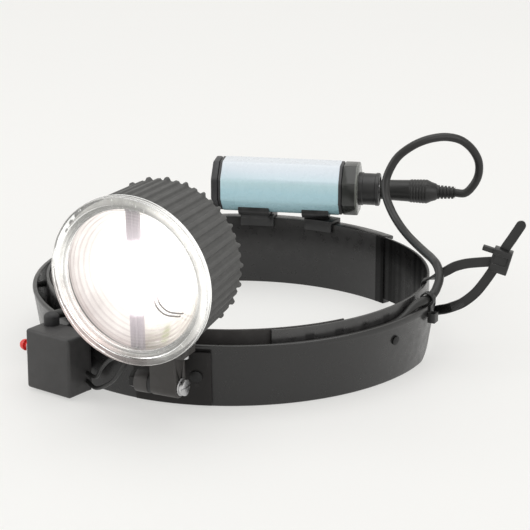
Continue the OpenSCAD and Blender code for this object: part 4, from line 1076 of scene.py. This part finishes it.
CABLE_D = 4.2
CABLE_Z = 27.3
GROOVE = (TONGUE[1] + wall_in(CABLE_Z)) / 2
CABLE_OVER = (7.3, 32.9)
CABLE_ENTRY = band_point(-20.7, 8.9, 36)
LAST_FREE = band_point(-18.7, 9.2, 38.5)
PACK_LOOP = [(RELIEF_TO, 0, 0), (RELIEF_TO + 5, 0, 0), (96, 0.5, 4), (98.5, 1, 9.5), (98.5, 0, 17),
             (95, -2, 24), (89.5, -4.5, 29), (83, -7, 31), (77, -9.5, 31), (70.5, -12, 29.5),
             (64.5, -14, 26.5), (59, -15.5, 22), (55.5, -17.5, 16.5), (53.5, -19.5, 10.5), (54, -23.5, 4),
             (57, -29, -1.5)]
BAND_RUN = [(29.7, -0.3, 46.2), (22.2, -1.3, 43.3), (12, -2, 42.8), (1.1, -0.4, 43.3), (-8.1, 3.2, 44.1),
            (-14, 6.6, 43.8), (-16.6, 8.6, 41.2)]
CORD_ROUTE = [*[in_frame(PACK, *p) for p in PACK_LOOP], *[band_point(*p) for p in BAND_RUN], LAST_FREE,
              CABLE_ENTRY]
INTO_GROOVE = [(-22.9, 8, 33.6), (SMALL_TIE_AT, *CABLE_OVER), (-28, 6.5, 32.9), (-30.5, 5.2, 32.4),
               (-33, 4.4, 31.2), (-36, 4.2, 29.4), (-39.5, 4.2, 27.9)]
BOOT_Z = 33.2
BOOT_TURN = 8
MOUTH_IN = 1.7


def in_boot(x, y, z=BOOT_Z):
    """A point given from the boot's axis, in mm in the row frame."""
    from_corner = spin(BOOT_AT[0] + x, BOOT_AT[1] + y, BOX_YAW)
    return Vector((*from_corner, z)) + Vector((*BOX_CORNER.xy, 0))


def boot_bend(angle, z=BOOT_Z):
    return in_boot(BOOT_TURN * (1 + cosd(angle)), MOUTH_IN + 1 + BOOT_TURN * sind(angle), z)


def make_cables(m):
    held = [CABLE_ENTRY, 1.2 * CABLE_ENTRY - 0.2 * LAST_FREE, *[band_point(*p) for p in INTO_GROOVE],
            *[band_point(phi, GROOVE, CABLE_Z) for phi in range(-43, -122, -6)],
            band_point(-129, GROOVE, 29.8), boot_bend(80, BOOT_Z - 0.8),
            *[boot_bend(a) for a in (105, 130, 155, 180)], in_boot(0, MOUTH_IN)]
    place(tube("held_cable_run", smooth_path(held), CABLE_D), "band", m["cable"], "held_cable")
    free = smooth_path(CORD_ROUTE[::-1])
    cord = place(tube("power_cord_run", free, CABLE_D), "band", m["cable"], "power_cord")


# ---------------- cable ties

STRAP_STEP = 0.55
LADDER_DEPTH = 0.28
Y_AXIS = Vector((0, 1, 0))


def strap(name, stations, w, t, matrix, teeth=None, round_end=False):
    """A flat strap along (x, z, twist) stations; teeth is from and to which share it has a ladder."""
    path = smooth_path([(x, a, z) for x, z, a in stations], STRAP_STEP)
    centres = [Vector((p.x, 0, p.z)) for p in path]
    last = len(path) - 1
    verts = []
    for i, p in enumerate(path):
        along = (centres[min(i + 1, last)] - centres[max(i - 1, 0)]).normalized()
        across = cosd(p.y) * Y_AXIS + sind(p.y) * along.cross(Y_AXIS)
        up = along.cross(across)
        left = (last - i) * STRAP_STEP / (w / 2)
        narrow = math.sqrt(max(0.08, 1 - (1 - left) ** 2)) if round_end and left < 1 else 1.0
        flat = 0.5
        if teeth and teeth[0] <= i / last <= teeth[1] and i % 2:
            flat -= LADDER_DEPTH
        for u, v in ((0.5, 0.32), (0.42, 0.5), (0.3, flat), (-0.3, flat), (-0.42, 0.5), (-0.5, 0.32),
                     (-0.5, -0.32), (-0.42, -0.5), (0.42, -0.5), (0.5, -0.32)):
            verts.append(centres[i] + across * (u * w * narrow) + up * (v * t))
    return mesh_object(name, verts, skin(last + 1, len(verts) // (last + 1)), matrix)


BIG_ROUTE = [(32.4, 47.2, 90), (26.3, 46.4, 90), (20.1, 45.3, 90), (15.4, 43.7, 88), (10.8, 40.9, 78),
             (6.9, 38.3, 50), (3.5, 36.7, 22), (1.2, 36, 0), (-0.2, 35, 0), (-0.3, 30, 0), (-0.3, 24, 0),
             (-0.1, 21.4, 0), (1.2, 20.6, 0), (3.5, 20.5, 15), (7.6, 21.2, 55), (13.5, 23, 80),
             (19.7, 26.3, 90), (24.8, 31, 90), (28.9, 36.6, 90), (33.4, 43.9, 90)]
TAIL_ROUTE = [(36.5, 47, 90), (37.6, 52.5, 90), (41.5, 59.3, 90), (46.5, 67.8, 90)]


BIG_TIE = (4.7, 1.2)
BIG_HEAD = (36.4, 0, 48)
BIG_HEAD_TILT = 15
SMALL_TIE = (3.2, 0.8)
SMALL_HEAD_Z = 22.0
SMALL_HEAD_H = 4.6
SMALL_GAP = 0.7


def make_ties(material):
    at = at_band(BIG_TIE_AT)
    loop = strap("loop", BIG_ROUTE, *BIG_TIE, at, (0.62, 1.0))
    tail = strap("tail", TAIL_ROUTE, *BIG_TIE, at, (0.0, 1.0), round_end=True)
    tilt = at @ shift(*BIG_HEAD) @ turn(BIG_HEAD_TILT, "Y")
    head = block("head", (-4.5, -3, -5.7), (4.5, 3, 5.7), tilt)
    cut(head, [block("window", (-3.4, -4, -1.6), (3.2, -2.2, 2.6), tilt)])
    soften(head, 0.45)
    lever = block("lever", (-9.9, -1.4, 2.4), (-2.9, 1.4, 4.8), tilt)
    soften(lever, 0.4)
    place(join("large_tie", [loop, tail, head, lever]), "band", material, "big_tie", angle=40)

    loop_r = CABLE_D / 2 + 1
    mid, top = 24.95, SMALL_HEAD_Z + SMALL_HEAD_H
    inner, outer = wall_in(mid) - SMALL_GAP, wall_out(mid) + SMALL_GAP
    edge = wall_out(FRONT_H - BEAD_H) + BEAD_OUT + SMALL_GAP
    over_x, over_z = CABLE_OVER
    stations = [(outer, mid), (inner, mid), (inner, FRONT_H - 1.2)]
    stations += [(over_x + loop_r * cosd(a), over_z + loop_r * sind(a)) for a in range(190, -31, -20)]
    stations += [(edge, FRONT_H - 0.2), (edge, FRONT_H - BEAD_H), (outer + 0.6, top - 0.6)]
    at = at_band(SMALL_TIE_AT)
    ring = strap("ring", [(x, z, 0) for x, z in stations], *SMALL_TIE, at)
    x = wall_out(top) + 0.05
    head = block("head", (x, -2.4, SMALL_HEAD_Z), (x + 3.8, 2.4, top), at)
    cut(head, [block("window", (x + 0.7, -1.7, SMALL_HEAD_Z + 3.6), (x + 3.1, 1.7, SMALL_HEAD_Z + 6), at)])
    soften(head, 0.4)
    place(join("small_tie_shell", [ring, head]), "band", material, "small_tie", angle=40)


# ---------------- CAD pieces that stay

# Finishes of the slots that have another name than their finish
BY_SLOT = {
    "dark_metal": "dull_steel", "housing_plastic": "housing", "box_plastic": "mount_plastic",
    "clear_plastic": "lens_clear", "seal_rubber": "seal", "mirror": "reflector", "dark_rubber": "rubber",
    "circuit_board": "pcb", "chip_plastic": "grey_plastic", "bridge_alloy": "bridge", "led_white": "emitter",
    "pack_plastic": "mount_plastic", "label_film": "label", "cell_film": "cell_wrap", "cable_rubber": "cable",
    "wire_red": "wire_grey",
}
OWN_FINISH = {
    "led_board": "board_white", "switch_box_cover": "box_plastic", "lamp_bracket": "ear_plastic",
    "tilt_foot": "foot_plastic", "hinge_nut": "black_steel", "size_studs": "black_steel",
    "bracket_rivets": "black_steel", "rear_band": "rear_plastic",
}
SOFT_EDGES = {
    "lamp_bracket": 0.35, "tilt_foot": 0.5, "clip_left": 0.3, "clip_right": 0.3, "hinge_screw": 0.25,
    "hinge_washer": 0.1, "hinge_nut": 0.2, "size_studs": 0.25, "bracket_rivets": 0.3, "foot_screws": 0.1,
    "led_bridge": 0.2, "rear_cover": 0.3, "lamp_gland": 0.2, "switch_nut": 0.2,
}
WELD_GAP = 0.00001


def dress_nodes(m):
    """Every CAD node gets a finish by its slot or its own, and some get soft edges."""
    for name, obj in nodes.items():
        paint(obj, m[OWN_FINISH.get(name, BY_SLOT.get(slots[name], slots[name]))])
        attributes = obj.data.attributes
        if "custom_normal" in attributes:
            attributes.remove(attributes["custom_normal"])
        shade(obj, 32)
        if name in SOFT_EDGES:
            obj.modifiers.new("weld", "WELD").merge_threshold = WELD_GAP
            bevel(obj, SOFT_EDGES[name], 2, 40)


# ---------------- stage

CAMERA_AT = (0.4676, -0.9230, 0.3733)
CAMERA_TILT, CAMERA_YAW = 72, 26
CAMERA_LENS = 153.2
SENSOR = 36
FLOOR_R = 4.0
FLOOR_DROP = 0.0001
# Colour and strength of the studio as the lamp sees it and as the camera sees it
LIT_BY = ((1, 0.99, 0.97, 1), 0.47)
SEEN_AS = ((0.86, 0.85, 0.82, 1), 1.0)
# Name, place, size and power
LIGHTS = (("top", (0.1, 0.1, 1.6), 1.6, 12), ("left", (-1.3, -0.7, 0.9), 1.0, 6),
          ("right", (1.4, -0.5, 0.8), 1.0, 5.5))
LIGHTS_AIM = Vector((0, 0, 0.04))


def make_stage():
    scene = bpy.context.scene
    camera = link("camera", bpy.data.cameras.new("camera"))
    camera.location = CAMERA_AT
    camera.rotation_euler = (math.radians(CAMERA_TILT), 0, math.radians(CAMERA_YAW))
    camera.data.lens = CAMERA_LENS
    camera.data.sensor_width = SENSOR
    scene.camera = camera
    scene.view_settings.view_transform = "Standard"

    floor_data = bpy.data.meshes.new("floor")
    corners = [(-FLOOR_R, -FLOOR_R, 0), (FLOOR_R, -FLOOR_R, 0), (FLOOR_R, FLOOR_R, 0), (-FLOOR_R, FLOOR_R, 0)]
    floor_data.from_pydata(corners, [], [(0, 1, 2, 3)])
    floor = link("floor", floor_data)
    floor.location.z = -FLOOR_DROP
    t = Tree("floor")
    t.set(Base_Color=t.blend(t.noise(3.0, 2), (0.37, 0.368, 0.358), (0.39, 0.388, 0.378)), Roughness=0.6,
          Specular_IOR_Level=0.2, Emission_Color=(1.0, 0.995, 0.975, 1.0), Emission_Strength=0.53)
    floor_data.materials.append(t.material)

    world = bpy.data.worlds.new("studio")
    world.use_nodes = True
    scene.world = world
    tree = world.node_tree
    tree.nodes.clear()
    out = tree.nodes.new("ShaderNodeOutputWorld")
    path = tree.nodes.new("ShaderNodeLightPath")
    pick = tree.nodes.new("ShaderNodeMixShader")
    ray = path.outputs["Is Camera Ray"]
    for kind in ("Is Glossy Ray", "Is Transmission Ray"):
        either = tree.nodes.new("ShaderNodeMath")
        either.operation = "MAXIMUM"
        tree.links.new(ray, either.inputs[0])
        tree.links.new(path.outputs[kind], either.inputs[1])
        ray = either.outputs[0]
    tree.links.new(ray, pick.inputs[0])
    for socket, (colour, strength) in ((1, LIT_BY), (2, SEEN_AS)):
        background = tree.nodes.new("ShaderNodeBackground")
        background.inputs["Color"].default_value = colour
        background.inputs["Strength"].default_value = strength
        tree.links.new(background.outputs[0], pick.inputs[socket])
    tree.links.new(pick.outputs[0], out.inputs["Surface"])

    for name, at, size, power in LIGHTS:
        light = link(name, bpy.data.lights.new(name, "AREA"))
        light.location = at
        light.rotation_euler = (LIGHTS_AIM - Vector(at)).to_track_quat("-Z", "Y").to_euler()
        light.data.size = size
        light.data.energy = power


def main():
    make_stage()
    m = make_materials()
    dress_nodes(m)
    plug, strain = make_plug(m)
    make_cables(m)
    make_rear_band(m["rear_plastic"])
    make_front_band(m["band_plastic"])
    make_liner(m["liner_foam"])
    make_housing(m["housing"])
    make_lens_ring(m["ring_clear"])
    make_reflector(m["reflector"])
    make_wires(m["wire_grey"])
    make_lamp_leads(m["cable"])
    make_switch_box(m["box_plastic"], m["rubber"], m["red_plastic"])
    make_pack(m)
    make_ties(m["nylon"])


main()
